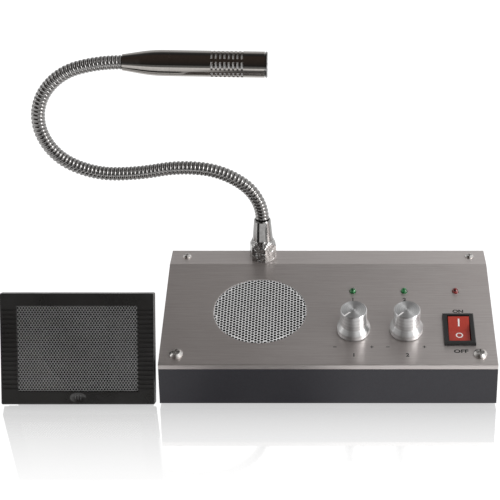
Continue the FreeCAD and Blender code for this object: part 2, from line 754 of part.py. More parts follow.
def pot_shaft(x):
    foot = -PLATE_SHEET - POT_BORE_DEPTH + MOVING_GAP
    return on_panel(rod(SHAFT_RADIUS, foot, SHAFT_TOP), x, CONTROL_V)


def pot_body(x):
    top = -PLATE_SHEET
    body = fused([rod(POT_RADIUS, top - POT_DEPTH, top), rod(BUSHING_RADIUS, top - 1, BUSHING_HEIGHT)])
    bore = rod(SHAFT_RADIUS + PIVOT_GAP, top - POT_BORE_DEPTH, BUSHING_HEIGHT + 1)
    return on_panel(body.cut(bore), x, CONTROL_V)


def pot_nut(x):
    nut = hex_prism(POT_NUT_FLATS, 0, POT_NUT_HEIGHT).cut(rod(BUSHING_RADIUS + THREAD_GAP, -1, POT_NUT_HEIGHT + 1))
    return on_panel(nut, x, CONTROL_V)


def led(x):
    """A round lamp whose dome stands out of the plate, with its legs in the board."""
    foot = LED_STAND - LED_BODY
    shoulder = LED_STAND - LED_RADIUS
    body = [rod(LED_RADIUS, foot, shoulder), Part.makeSphere(LED_RADIUS, Vector(0, 0, shoulder))]
    body.append(rod(LED_FLANGE_RADIUS, foot, foot + LED_FLANGE))
    tail = CONTROL_BOARD_TOP - BOARD_THICKNESS - LED_LEG_TAIL
    for side in (-1, 1):
        body.append(rod(LED_LEG_RADIUS, tail, foot + LED_FLANGE / 2, side * LED_LEG_PITCH / 2))
    return on_panel(fused(body), x, LED_V)


def control_board():
    """The board under the panel that carries the volume controls and the lamps."""
    low_x = KNOB_XS[0] - CONTROL_BOARD_MARGIN
    step_x = KNOB_XS[1] + CONTROL_BOARD_MARGIN
    high_x = LED_XS[-1] + CONTROL_BOARD_ARM
    front = CONTROL_V - CONTROL_BOARD_MARGIN
    step_v = LED_V - CONTROL_BOARD_ARM
    back = LED_V + CONTROL_BOARD_ARM
    points = [(low_x, front), (step_x, front), (step_x, step_v), (high_x, step_v), (high_x, back), (low_x, back)]
    low = CONTROL_BOARD_TOP - BOARD_THICKNESS
    corners = [Vector(x, v, low) for x, v in points]
    board = Part.Face(Part.makePolygon(corners + corners[:1])).extrude(Vector(0, 0, BOARD_THICKNESS))
    legs = []
    for x in LED_XS:
        for side in (-1, 1):
            leg_x = x + side * LED_LEG_PITCH / 2
            legs.append(rod(LED_LEG_RADIUS + HOLE_GAP, low - 1, CONTROL_BOARD_TOP + 1, leg_x, LED_V))
    return on_panel(board.cut(legs))


# --- Rocker switch ----------------------------------------------------------------------
def switch_frame():
    body_x = SWITCH_CUTOUT_X - 2 * HOLE_GAP
    body_v = SWITCH_CUTOUT_V - 2 * HOLE_GAP
    bezel = centred_box(0, 0, SWITCH_BEZEL_X, SWITCH_BEZEL_V, 0, SWITCH_BEZEL_HEIGHT)
    top_edges = [e for e in bezel.Edges if e.BoundBox.ZMin > SWITCH_BEZEL_HEIGHT - 0.01]
    bezel = bezel.makeFillet(SWITCH_BEZEL_HEIGHT * 0.3, top_edges)
    body = centred_box(0, 0, body_x, body_v, -SWITCH_DEPTH, SWITCH_BEZEL_HEIGHT / 2)
    latches = []
    for side in (-1, 1):
        face = side * body_v / 2
        low = -PLATE_SHEET - SEAM - SWITCH_LATCH_LENGTH
        high = -PLATE_SHEET - SEAM
        points = [(face - side * 0.3, low), (face, low), (face + side * SWITCH_LATCH, high), (face - side * 0.3, high)]
        latches.append(prism_along_x(points, -SWITCH_LATCH_WIDTH / 2, SWITCH_LATCH_WIDTH / 2))
    frame = fused([bezel, body] + latches)
    well_x = ROCKER_WIDTH + 2 * MOVING_GAP
    well = centred_box(0, 0, well_x, ROCKER_WELL_V, -SWITCH_WELL, SWITCH_BEZEL_HEIGHT + 1)
    pivot = Part.makeCylinder(
        ROCKER_PIN_RADIUS + PIVOT_GAP, SWITCH_BEZEL_X, Vector(-SWITCH_BEZEL_X / 2, 0, -ROCKER_PIVOT_DEPTH), X_AXIS
    )
    pivot = pivot.common(centred_box(0, 0, SWITCH_BEZEL_X, SWITCH_BEZEL_V, -SWITCH_DEPTH, 0))
    return on_panel(frame.cut([well, pivot]), SWITCH_X, CONTROL_V)


def switch_rocker():
    """The rocker, drawn level about its pivot and then turned to off."""
    half = ROCKER_SPAN / 2
    crease = ROCKER_PIVOT_DEPTH + ROCKER_CREASE
    tip = crease + half * math.tan(math.radians(ROCKER_HALF_ANGLE))
    waist = half * 0.9
    points = [
        (0, crease),
        (half, tip),
        (half - 0.3, tip - ROCKER_SKIRT * 0.6),
        (waist, tip - ROCKER_SKIRT),
        (ROCKER_FOOT / 2, -ROCKER_SKIRT),
        (-ROCKER_FOOT / 2, -ROCKER_SKIRT),
        (-waist, tip - ROCKER_SKIRT),
        (-half + 0.3, tip - ROCKER_SKIRT * 0.6),
        (-half, tip),
    ]
    body = prism_along_x(points, -ROCKER_WIDTH / 2, ROCKER_WIDTH / 2)
    pin_reach = ROCKER_WIDTH / 2 + MOVING_GAP + SWITCH_WALL_X - SEAM
    pin = Part.makeCylinder(ROCKER_PIN_RADIUS, 2 * pin_reach, Vector(-pin_reach, 0, 0), X_AXIS)
    rocker = fused([body, pin])
    seat = Placement(Vector(0, 0, -ROCKER_PIVOT_DEPTH), Rotation(X_AXIS, ROCKER_HALF_ANGLE))
    return on_panel(placed(rocker, seat), SWITCH_X, CONTROL_V)


def switch_terminals():
    top = -SWITCH_DEPTH
    blades = []
    for side in (-1, 1):
        v = side * TERMINAL_PITCH / 2
        blade = centred_box(0, v, TERMINAL_WIDTH, TERMINAL_SHEET, top - TERMINAL_LENGTH, top)
        eye = Part.makeCylinder(0.8, 4, Vector(0, v - 2, top - TERMINAL_LENGTH * 0.6), Y_AXIS)
        blades.append(on_panel(blade.cut(eye), SWITCH_X, CONTROL_V))
    return blades


# --- Main board and sockets ---------------------------------------------------------------
def board_corners():
    low_x, high_x = MAIN_BOARD_X + BOARD_HOLE_INSET, MAIN_BOARD_X + MAIN_BOARD_WIDTH - BOARD_HOLE_INSET
    low_y = MAIN_BOARD_BACK - MAIN_BOARD_DEPTH + BOARD_HOLE_INSET
    high_y = MAIN_BOARD_BACK - BOARD_HOLE_INSET
    return [(x, y) for x in (low_x, high_x) for y in (low_y, high_y)]


def main_board():
    low = (MAIN_BOARD_X, MAIN_BOARD_BACK - MAIN_BOARD_DEPTH, MAIN_BOARD_Z)
    board = box(low, (MAIN_BOARD_X + MAIN_BOARD_WIDTH, MAIN_BOARD_BACK, MAIN_BOARD_TOP))
    holes = [rod(BOARD_SCREW_RADIUS + HOLE_GAP, MAIN_BOARD_Z, MAIN_BOARD_TOP, x, y) for x, y in board_corners()]
    return board.cut(holes)


def board_standoffs():
    posts = []
    for x, y in board_corners():
        post = hex_prism(STANDOFF_FLATS, TRAY_FLOOR, MAIN_BOARD_Z, x, y)
        posts.append(post.cut(rod(BOARD_SCREW_RADIUS + THREAD_GAP, TRAY_FLOOR, MAIN_BOARD_Z, x, y)))
    return posts


def board_screws():
    screw = pan_screw(BOARD_SCREW_RADIUS, BOARD_SCREW_HEAD, BOARD_SCREW_HEAD_HEIGHT, BOARD_SCREW_LENGTH)
    return [placed(screw, Placement(Vector(x, y, MAIN_BOARD_TOP), Rotation())) for x, y in board_corners()]


def heat_sink():
    """Finned bar with the amplifier chip clamped against its front."""
    back = MAIN_BOARD_BACK - HEAT_SINK_BACK
    front = back - HEAT_SINK_DEPTH
    right = HEAT_SINK_X + HEAT_SINK_WIDTH
    top = MAIN_BOARD_TOP + HEAT_SINK_HEIGHT
    base = box((HEAT_SINK_X, front, MAIN_BOARD_TOP), (right, front + HEAT_SINK_BASE, top))
    step = (HEAT_SINK_WIDTH - HEAT_SINK_FIN) / (HEAT_SINK_FINS - 1)
    fins = []
    for k in range(HEAT_SINK_FINS):
        x = HEAT_SINK_X + k * step
        fins.append(box((x, front, MAIN_BOARD_TOP), (x + HEAT_SINK_FIN, back, top)))
    return fused([base] + fins)


def capacitors():
    y = MAIN_BOARD_BACK - MAIN_BOARD_DEPTH + CAPACITOR_BACK
    cans = []
    for k in range(CAPACITOR_COUNT):
        x = CAPACITOR_X + k * CAPACITOR_PITCH
        can = rod(CAPACITOR_RADIUS, MAIN_BOARD_TOP, MAIN_BOARD_TOP + CAPACITOR_HEIGHT, x, y)
        cans.append(can.makeFillet(CAPACITOR_RADIUS * 0.12, [can.Edges[0]]))
    return cans


def power_inlet():
    """Low-voltage inlet: a block on the board whose round nose fills a hole in the tray."""
    z = MAIN_BOARD_TOP + POWER_BODY_HEIGHT / 2
    front = BACK_Y - TRAY_SHEET - POWER_BODY_DEPTH
    body = centred_box(
        POWER_X, front + POWER_BODY_DEPTH / 2, POWER_BODY_WIDTH, POWER_BODY_DEPTH,
        MAIN_BOARD_TOP, MAIN_BOARD_TOP + POWER_BODY_HEIGHT,
    )
    nose = pointing_back(rod(POWER_NOSE_RADIUS, -TRAY_SHEET - 1, 0), POWER_X, BACK_Y, z)
    bore = pointing_back(ring(POWER_BORE_RADIUS, POWER_PIN_RADIUS, -POWER_BORE_DEPTH, 1), POWER_X, BACK_Y, z)
    pin_room = pointing_back(rod(POWER_PIN_RADIUS, -1.5, 1), POWER_X, BACK_Y, z)
    return fused([body, nose]).cut([bore, pin_room])


def outer_unit_socket():
    """Modular socket for the lead of the outer unit."""
    front = BACK_Y - SOCKET_DEPTH
    body = centred_box(
        SOCKET_X, front + SOCKET_DEPTH / 2, SOCKET_WIDTH, SOCKET_DEPTH, MAIN_BOARD_TOP, MAIN_BOARD_TOP + SOCKET_HEIGHT
    )
    low = MAIN_BOARD_TOP + SOCKET_MOUTH_LIFT
    mouth = centred_box(
        SOCKET_X, BACK_Y - SOCKET_MOUTH_DEPTH / 2 + 0.5, SOCKET_MOUTH_WIDTH, SOCKET_MOUTH_DEPTH + 1,
        low, low + SOCKET_MOUTH_HEIGHT,
    )
    key = centred_box(SOCKET_X, BACK_Y - 3, SOCKET_MOUTH_WIDTH * 0.4, 8, low - 1.8, low + 1)
    return body.cut([mouth, key])


# --- Gooseneck ----------------------------------------------------------------------------
def neck_nut():
    """Hexagonal foot of the gooseneck, with the threaded shank that passes the plate."""
    low, high = PANEL_BACK_Z, PANEL_BACK_Z + NECK_NUT_HEIGHT
    corner = NECK_NUT_FLATS / math.sqrt(3)
    chamfered = turned([
        (0, low),
        (corner, low),
        (corner, high - NECK_NUT_CHAMFER),
        (NECK_NUT_CROWN, high),
        (0, high),
    ])
    body = hex_prism(NECK_NUT_FLATS, low, high).common(chamfered)
    shank = rod(NECK_SHANK_RADIUS, low - NECK_SHANK_LENGTH, low + 1)
    nut = fused([body, shank]).cut(rod(NECK_WIRE_BORE, low - NECK_SHANK_LENGTH - 1, high + 1))
    return placed(nut, Placement(Vector(NECK_X, STRIP_Y, 0), Rotation(Z_AXIS, NECK_NUT_TURN)))


def neck_lock_nut():
    high = PANEL_BACK_Z - PLATE_SHEET
    nut = hex_prism(LOCK_NUT_FLATS, high - LOCK_NUT_HEIGHT, high, NECK_X, STRIP_Y)
    return nut.cut(rod(NECK_SHANK_RADIUS + THREAD_GAP, high - LOCK_NUT_HEIGHT, high, NECK_X, STRIP_Y))


def neck_sleeve():
    bore = TUBE_RADIUS + THREAD_GAP
    ledge = SLEEVE_HEIGHT - TUBE_SEAT
    sleeve = turned([
        (NECK_WIRE_BORE, 0),
        (SLEEVE_BASE_RADIUS, 0),
        (SLEEVE_TOP_RADIUS + 0.1, SLEEVE_HEIGHT - 0.7),
        (SLEEVE_TOP_RADIUS - 0.15, SLEEVE_HEIGHT),
        (bore, SLEEVE_HEIGHT),
        (bore, ledge),
        (NECK_WIRE_BORE, ledge),
    ])
    return placed(sleeve, Placement(Vector(NECK_X, STRIP_Y, SLEEVE_Z), Rotation()))


def neck_points():
    """Each link's start, and the neck's end, as (place, heading): a chain of equal arcs."""
    place, heading = Vector(NECK_X, STRIP_Y, LINK_START_Z), 90.0
    points = [(place, heading)]
    for turn in LINK_TURNS:
        place, heading = along_arc(place, heading, turn, LINK_LENGTH)
        points.append((place, heading))
    return points


def direction(heading):
    angle = math.radians(heading)
    return Vector(math.cos(angle), 0, math.sin(angle))


def along_arc(place, heading, turn, length):
    """The place and heading after an arc that turns to the left by turn degrees."""
    chord = length * math.sin(math.radians(turn / 2)) / math.radians(turn / 2)
    return place + direction(heading + turn / 2) * chord, heading + turn


def tube_section(place, heading):
    return Part.Face(Part.Wire(Part.makeCircle(TUBE_RADIUS, place, direction(heading))))


def bent_tube(place, heading, turn, length):
    """A round bar along an arc in the neck's plane."""
    radius = length / math.radians(turn)
    centre = place + direction(heading + 90) * radius
    axis = Vector(0, -1, 0) if turn > 0 else Vector(0, 1, 0)
    return tube_section(place, heading).revolve(centre, axis, abs(turn))


def neck_link(index):
    """One link: a socket at its start, a bent bar, and a ball at its end."""
    (start, heading), (end, _) = neck_points()[index:index + 2]
    turn = LINK_TURNS[index]
    first, last = index == 0, index == len(LINK_TURNS) - 1
    length = LINK_LENGTH if last else LINK_LENGTH - LINK_GAP
    pieces = [bent_tube(start, heading, turn * length / LINK_LENGTH, length)]
    if last:
        pieces.append(tube_section(end, heading + turn).extrude(direction(heading + turn) * TUBE_SEAT))
    else:
        pieces.append(Part.makeSphere(BALL_RADIUS, end, direction(heading + turn)))
    if first:
        pieces.append(tube_section(start, heading).extrude(direction(heading) * -TUBE_SEAT))
    link = fused(pieces)
    if not first:
        link = link.cut(Part.makeSphere(BALL_RADIUS + SOCKET_GAP, start, direction(heading)))
    return link


# --- Microphone -----------------------------------------------------------------------------
def on_mic(shape):
    """Moves a shape drawn along +Z to the end of the neck, pointing the neck's way."""
    place, heading = neck_points()[-1]
    return placed(shape, Placement(place, Rotation(Y_AXIS, 90 - heading)))


def taper_round():
    """The arc that runs from the collar's taper into its straight part, and its two ends."""
    lean = math.atan2(MIC_RADIUS - MIC_TAIL_RADIUS, MIC_TAPER)
    radius = MIC_TAPER_ROUND / math.tan(lean / 2)
    middle = Vector(MIC_RADIUS - radius, 0, MIC_TAPER + MIC_TAPER_ROUND)
    points = [middle + Vector(math.cos(turn), 0, -math.sin(turn)) * radius for turn in (lean, lean / 2, 0)]
    return Part.Arc(*points).toShape(), points[0], points[2]


def mic_collar():
    inner = MIC_SPIGOT_RADIUS - MIC_WALL
    arc, low, high = taper_round()
    tail = [(TUBE_RADIUS + THREAD_GAP, 0), (MIC_TAIL_RADIUS, 0)]
    head = [
        (MIC_RADIUS, MIC_COLLAR),
        (MIC_SPIGOT_RADIUS, MIC_COLLAR),
        (MIC_SPIGOT_RADIUS, MIC_COLLAR + MIC_SPIGOT),
        (inner, MIC_COLLAR + MIC_SPIGOT),
        (inner, MIC_TAPER),
        (NECK_WIRE_BORE, MIC_TAPER - 4),
        (NECK_WIRE_BORE, TUBE_SEAT),
        (TUBE_RADIUS + THREAD_GAP, TUBE_SEAT),
        (TUBE_RADIUS + THREAD_GAP, 0),
    ]
    first = Part.makePolygon([Vector(radius, 0, height) for radius, height in tail] + [low])
    second = Part.makePolygon([high] + [Vector(radius, 0, height) for radius, height in head])
    face = Part.Face(Part.Wire(first.Edges + [arc] + second.Edges))
    return on_mic(face.revolve(Vector(0, 0, 0), Z_AXIS, 360))


def slot_columns():
    return [MIC_SLOT_START + k * MIC_SLOT_PITCH for k in range(MIC_SLOT_COLUMNS)]


def mic_barrel():
    barrel = ring(MIC_RADIUS, MIC_BORE, MIC_COLLAR + SEAM, MIC_LENGTH - MIC_CAP - SEAM)
    chord = 2 * MIC_RADIUS * math.sin(math.radians(MIC_SLOT_ARC / 2))
    slots = []
    for s in slot_columns():
        for row in range(MIC_SLOT_ROWS):
            slot = box((MIC_BORE - 1, -chord / 2, s - MIC_SLOT_WIDTH / 2), (MIC_RADIUS + 1, chord / 2, s + MIC_SLOT_WIDTH / 2))
            turn = Rotation(Z_AXIS, MIC_SLOT_OFFSET + 360 / MIC_SLOT_ROWS * row)
            slots.append(placed(slot, Placement(Vector(), turn)))
    return on_mic(barrel.cut(slots))


def mic_screen():
    outer = MIC_BORE - SEAM
    first, last = slot_columns()[0], slot_columns()[-1]
    return on_mic(ring(outer, outer - MIC_SCREEN_SHEET, first - MIC_SCREEN_MARGIN, last + MIC_SCREEN_MARGIN))


def mic_capsule():
    high = MIC_LENGTH - MIC_CAP - MIC_CAP_SPIGOT
    outer = MIC_BORE - SEAM
    return on_mic(rod(outer, high - MIC_CAPSULE_LENGTH, high))


def mic_end_cap():
    seat = MIC_LENGTH - MIC_CAP
    cap = turned([
        (0, seat - MIC_CAP_SPIGOT),
        (MIC_SPIGOT_RADIUS, seat - MIC_CAP_SPIGOT),
        (MIC_SPIGOT_RADIUS, seat),
        (MIC_RADIUS - MIC_CAP_LINE, seat),
        (MIC_RADIUS - MIC_CAP_LINE, seat + MIC_CAP_LINE),
        (MIC_RADIUS, seat + MIC_CAP_LINE),
        (MIC_RADIUS, MIC_LENGTH - MIC_CAP_EDGE),
        (MIC_RADIUS - MIC_CAP_EDGE, MIC_LENGTH),
        (0, MIC_LENGTH),
    ])
    holes = [rod(MIC_CAP_HOLE, seat - MIC_CAP_SPIGOT - 1, MIC_LENGTH + 1)]
    for k in range(MIC_CAP_HOLES):
        x, y = polar(MIC_CAP_CIRCLE, 360 / MIC_CAP_HOLES * k)
        holes.append(rod(MIC_CAP_HOLE, seat - MIC_CAP_SPIGOT - 1, MIC_LENGTH + 1, x, y))
    return on_mic(cap.cut(holes))


# --- Outer unit -------------------------------------------------------------------------------
# Its own frame has x across, y back from the front face and z up the face.
def outer_rod(radius, low, high, x, z):
    return Part.makeCylinder(radius, high - low, Vector(x, low, z), Y_AXIS)


def rib_grooves():
    half = OUTER_WIDTH / 2
    inner = MESH_WIDTH / 2 + RIB_INNER_GAP
    middle = OUTER_HEIGHT / 2
    grooves = []
    for k in range(RIB_COUNT):
        z = middle + (k - (RIB_COUNT - 1) / 2) * RIB_PITCH
        for side in (-1, 1):
            low, high = sorted((side * inner, side * (half - RIB_MARGIN)))
            grooves.append(box((low, -1, z - RIB_GROOVE / 2), (high, RIB_DEPTH, z + RIB_GROOVE / 2)))
    return grooves


def mesh_window():
    """The opening of the bezel, with sloping sides down to the mesh."""
    middle = OUTER_HEIGHT / 2
    wires = []
    for y, grow in ((-0.01, MESH_BEVEL), (MESH_DEPTH, 0.0)):
        x, z = MESH_WIDTH / 2 + grow, MESH_HEIGHT / 2 + grow
        corners = [Vector(i, y, middle + j) for i, j in ((-x, -z), (x, -z), (x, z), (-x, z))]
        wires.append(Part.makePolygon(corners + corners[:1]))
    funnel = Part.makeLoft(wires, True, True)
    x, z = MESH_WIDTH / 2, MESH_HEIGHT / 2
    return [funnel, box((-x, MESH_DEPTH - 0.1, middle - z), (x, OUTER_DEPTH + 1, middle + z))]


def port_dish():
    """A shallow oval hollow around the microphone's slots."""
    half_x, half_z = PORT_DISH_WIDTH / 2, PORT_DISH_HEIGHT / 2
    minor = (half_z ** 2 + PORT_DISH_DEPTH ** 2) / (2 * PORT_DISH_DEPTH)
    major = half_x * minor / half_z
    arc = Part.ArcOfEllipse(Part.Ellipse(Vector(0, 0, 0), major, minor), 0, math.pi).toShape()
    base = Part.makeLine(Vector(-major, 0, 0), Vector(major, 0, 0))
    dish = Part.Face(Part.Wire([arc, base])).revolve(Vector(0, 0, 0), X_AXIS, 360)
    return placed(dish, Placement(Vector(0, PORT_DISH_DEPTH - minor, PORT_HEIGHT), Rotation()))


def port_openings():
    openings = [port_dish()]
    low, high = PORT_HEIGHT - PORT_SLOT_LENGTH / 2, PORT_HEIGHT + PORT_SLOT_LENGTH / 2
    for k in range(PORT_SLOTS):
        x = (k - (PORT_SLOTS - 1) / 2) * PORT_SLOT_PITCH
        openings.append(box((x - PORT_SLOT_WIDTH / 2, -1, low), (x + PORT_SLOT_WIDTH / 2, OUTER_DEPTH + 1, high)))
    return openings


def outer_bezel():
    half = OUTER_WIDTH / 2
    block = box((-half, 0, 0), (half, OUTER_DEPTH, OUTER_HEIGHT))
    corners = [e for e in block.Edges if e.BoundBox.YLength > OUTER_DEPTH - 0.01]
    block = block.makeFillet(OUTER_CORNER, corners)
    rim = [e for e in block.Edges if e.BoundBox.YMax < 0.01]
    block = block.makeFillet(OUTER_EDGE, rim)
    lap_x, lap_z = MESH_WIDTH / 2 + MESH_LAP, MESH_HEIGHT / 2 + MESH_LAP
    middle = OUTER_HEIGHT / 2
    mesh_seat = box((-lap_x, MESH_DEPTH, middle - lap_z), (lap_x, OUTER_DEPTH + 1, middle + lap_z))
    capsule = outer_rod(OUTER_MIC_RADIUS + SEAM, MESH_DEPTH + MESH_SHEET, OUTER_DEPTH + 1, 0, OUTER_MIC_W)
    openings = [mesh_seat, capsule] + mesh_window() + rib_grooves() + port_openings()
    for x, z in housing_screw_places():
        openings.append(outer_rod(HOUSING_SCREW_RADIUS + THREAD_GAP, MESH_DEPTH, OUTER_DEPTH + 1, x, z))
    return on_outer(block.cut(openings))


def outer_mesh():
    """The perforated sheet: staggered rows of round holes."""
    lap_x, lap_z = MESH_WIDTH / 2 + MESH_LAP - SEAM, MESH_HEIGHT / 2 + MESH_LAP - SEAM
    middle = OUTER_HEIGHT / 2
    y = MESH_DEPTH
    corners = [Vector(i, y, middle + j) for i, j in ((-lap_x, -lap_z), (lap_x, -lap_z), (lap_x, lap_z), (-lap_x, lap_z))]
    wires = [Part.makePolygon(corners + corners[:1])]
    columns = int(MESH_WIDTH / 2 / MESH_PITCH)
    rows = int(MESH_HEIGHT / 2 / MESH_ROW)
    for j in range(-rows, rows + 1):
        shift = 0.5 * (j % 2)
        for i in range(-columns - 1, columns + 1):
            x, z = (i + shift) * MESH_PITCH, j * MESH_ROW
            if abs(x) + MESH_HOLE < MESH_WIDTH / 2 and abs(z) + MESH_HOLE < MESH_HEIGHT / 2:
                wires.append(Part.Wire(Part.makeCircle(MESH_HOLE, Vector(x, y, middle + z), Y_AXIS)))
    return on_outer(Part.Face(wires).extrude(Vector(0, MESH_SHEET, 0)))


def facing_front(shape, x, depth, z):
    """Turns a shape drawn along +Z so that it points out of the outer unit's face."""
    return on_outer(placed(shape, Placement(Vector(x, depth, z), Rotation(X_AXIS, 90))))


def housing_tub(shrink, front):
    """The rear housing's hollow shape; shrink is the wall that is left around it."""
    x = HOUSING_WIDTH / 2 - shrink
    back = HOUSING_DEPTH - shrink
    points = [
        (front, HOUSING_FOOT + shrink),
        (front, HOUSING_HEAD - shrink),
        (back, HOUSING_BACK_HEAD - shrink),
        (back, HOUSING_BACK_FOOT + shrink),
    ]
    return prism_along_x(points, -x, x)


def housing_screw_places():
    x = OUTER_WIDTH / 2 - HOUSING_SCREW_INSET
    low, high = HOUSING_SCREW_FOOT, OUTER_HEIGHT - HOUSING_SCREW_FOOT
    return [(side * x, z) for side in (-1, 1) for z in (low, high)]


def outer_housing():
    """Rear tub with the flange that closes the bezel and holds the loudspeaker."""
    inset = HOUSING_FLANGE_INSET
    front = OUTER_DEPTH + SEAM
    half = OUTER_WIDTH / 2 - inset
    flange = box((-half, front, inset), (half, front + HOUSING_WALL, OUTER_HEIGHT - inset))
    flange = flange.makeFillet(OUTER_CORNER, [e for e in flange.Edges if e.BoundBox.YLength > HOUSING_WALL - 0.01])
    tub = housing_tub(0, front)
    back_edges = [e for e in tub.Edges if e.BoundBox.YMin > HOUSING_DEPTH - 0.01]
    tub = tub.makeFillet(HOUSING_WALL * 0.8, back_edges)
    reach = HOUSING_WIDTH / 2 - HOUSING_WALL / 2
    bosses = []
    for side in (-1, 1):
        low, high = sorted((side * reach, side * (reach - PIVOT_BOSS_LENGTH)))
        bosses.append(Part.makeCylinder(PIVOT_BOSS_RADIUS, high - low, Vector(low, PIVOT_DEPTH, PIVOT_W), X_AXIS))
    room = housing_tub(HOUSING_WALL, front + HOUSING_WALL)
    mouth = outer_rod(DRIVER_RADIUS - DRIVER_LEDGE, front - 1, front + 2 * HOUSING_WALL, 0, OUTER_HEIGHT / 2)
    shell = fused([flange, tub]).cut([room, mouth])
    shell = fused([shell] + bosses)
    bore = PIVOT_SCREW_RADIUS + THREAD_GAP
    pivot = Part.makeCylinder(bore, OUTER_WIDTH, Vector(-OUTER_WIDTH / 2, PIVOT_DEPTH, PIVOT_W), X_AXIS)
    holes = [pivot, outer_rod(GROMMET_NECK + SEAM, HOUSING_DEPTH - 2 * HOUSING_WALL, HOUSING_DEPTH + 1, 0, GROMMET_W)]
    for x, z in housing_screw_places():
        holes.append(outer_rod(HOUSING_SCREW_RADIUS + HOLE_GAP, front - 1, front + 2 * HOUSING_WALL, x, z))
    return on_outer(shell.cut(holes))


def housing_screws():
    screw = pan_screw(HOUSING_SCREW_RADIUS, HOUSING_SCREW_HEAD, HOUSING_SCREW_HEAD_HEIGHT, HOUSING_SCREW_LENGTH)
    seat = OUTER_DEPTH + SEAM + HOUSING_WALL
    return [on_outer(pointing_back(screw, x, seat, z)) for x, z in housing_screw_places()]


def outer_speaker_frame():
    """Cup rim between mesh and flange, then the sloping wall down to the magnet."""
    drop = OUTER_DEPTH - MESH_DEPTH - MESH_SHEET
    ledge = DRIVER_RADIUS - DRIVER_LEDGE - HOLE_GAP
    hole = DRIVER_COIL_RADIUS + 1
    frame = turned([
        (DRIVER_RADIUS, -SEAM),
        (DRIVER_RADIUS, -drop),
        (ledge, -drop),
        (DRIVER_FOOT_RADIUS, -DRIVER_DEPTH),
        (hole, -DRIVER_DEPTH),
        (hole, DRIVER_SHEET - DRIVER_DEPTH),
        (DRIVER_FOOT_RADIUS - DRIVER_SHEET, DRIVER_SHEET - DRIVER_DEPTH),
        (ledge - DRIVER_SHEET, DRIVER_SHEET - drop),
        (DRIVER_RADIUS - DRIVER_SHEET, DRIVER_SHEET - drop),
        (DRIVER_RADIUS - DRIVER_SHEET, -SEAM),
    ])
    return facing_front(frame, 0, MESH_DEPTH + MESH_SHEET, OUTER_HEIGHT / 2)


def outer_speaker_cone():
    rim = DRIVER_RADIUS - DRIVER_SHEET - HOLE_GAP
    ledge = DRIVER_SHEET - (OUTER_DEPTH - MESH_DEPTH - MESH_SHEET)
    top = ledge + 2 * CONE_PAPER + SEAM
    cone = diaphragm(rim, DRIVER_COIL_RADIUS, top, DRIVER_CONE_DEPTH, DRIVER_COIL_LENGTH)
    return facing_front(cone, 0, MESH_DEPTH + MESH_SHEET, OUTER_HEIGHT / 2)


def outer_speaker_magnet():
    magnet = ring_magnet(DRIVER_MAGNET_RADIUS, DRIVER_COIL_RADIUS, DRIVER_MAGNET, MAGNET_PLATE, -DRIVER_DEPTH)
    return facing_front(magnet, 0, MESH_DEPTH + MESH_SHEET, OUTER_HEIGHT / 2)


def outer_mic_capsule():
    low = MESH_DEPTH + MESH_SHEET + SEAM
    return on_outer(outer_rod(OUTER_MIC_RADIUS, low, low + OUTER_MIC_LENGTH, 0, OUTER_MIC_W))


def cable_grommet():
    """Rubber bush around the cable hole in the housing's back."""
    inner = -HOUSING_WALL
    grommet = turned([
        (GROMMET_BORE, inner - GROMMET_LIP),
        (GROMMET_NECK + 0.7, inner - GROMMET_LIP),
        (GROMMET_NECK + 0.9, inner),
        (GROMMET_NECK, inner),
        (GROMMET_NECK, 0),
        (GROMMET_RADIUS, 0),
        (GROMMET_RADIUS - 0.4, GROMMET_LIP),
        (GROMMET_BORE, GROMMET_LIP),
    ])
    return on_outer(pointing_back(grommet, 0, HOUSING_DEPTH, GROMMET_W))


# --- Stand of the outer unit --------------------------------------------------------------
def pivot_place():
    """Where the tilt axis stands: (y, z)."""
    point = OUTER.multVec(Vector(0, PIVOT_DEPTH, PIVOT_W))
    return point.y, point.z


def ear_x():
    """The inner face of each ear, measured from the outer unit's middle."""
    return HOUSING_WIDTH / 2 + STAND_SIDE_GAP


def stand_bracket():
    """Bent sheet: a foot on its pad and two ears that carry the tilt axis."""
    y, z = pivot_place()
    front, back = y - STAND_FRONT, y + STAND_BACK
    top = STAND_PAD + STAND_SHEET
    inner, outer = ear_x(), ear_x() + STAND_SHEET
    foot = box((OUTER_X - outer, front, STAND_PAD), (OUTER_X + outer, back, top))
    radius = STAND_EAR_RADIUS
    shapes = [foot]
    for side in (-1, 1):
        low, high = sorted((OUTER_X + side * inner, OUTER_X + side * outer))
        web = prism_along_x([
            (front, STAND_PAD),
            (y - radius, z),
            (y + radius, z),
            (back, STAND_PAD),
        ], low, high)
        disc = Part.makeCylinder(radius, high - low, Vector(low, y, z), X_AXIS)
        shapes += [web, disc]
    bracket = fused(shapes)
    holes = [Part.makeCylinder(PIVOT_SCREW_RADIUS + PIVOT_GAP, 3 * outer, Vector(OUTER_X - 1.5 * outer, y, z), X_AXIS)]
    for side in (-1, 1):
        x = OUTER_X + side * STAND_SCREW_PITCH / 2
        holes.append(rod(STAND_SCREW_HOLE, 0, top + 1, x, y))
    return bracket.cut(holes)


def stand_pad():
    y, _ = pivot_place()
    x = ear_x() + STAND_SHEET - STAND_PAD_INSET
    front, back = y - STAND_FRONT + STAND_PAD_INSET, y + STAND_BACK - STAND_PAD_INSET
    pad = box((OUTER_X - x, front, 0), (OUTER_X + x, back, STAND_PAD))
    holes = [rod(STAND_SCREW_HOLE + HOLE_GAP, -1, 2, OUTER_X + side * STAND_SCREW_PITCH / 2, y) for side in (-1, 1)]
    return pad.cut(holes)


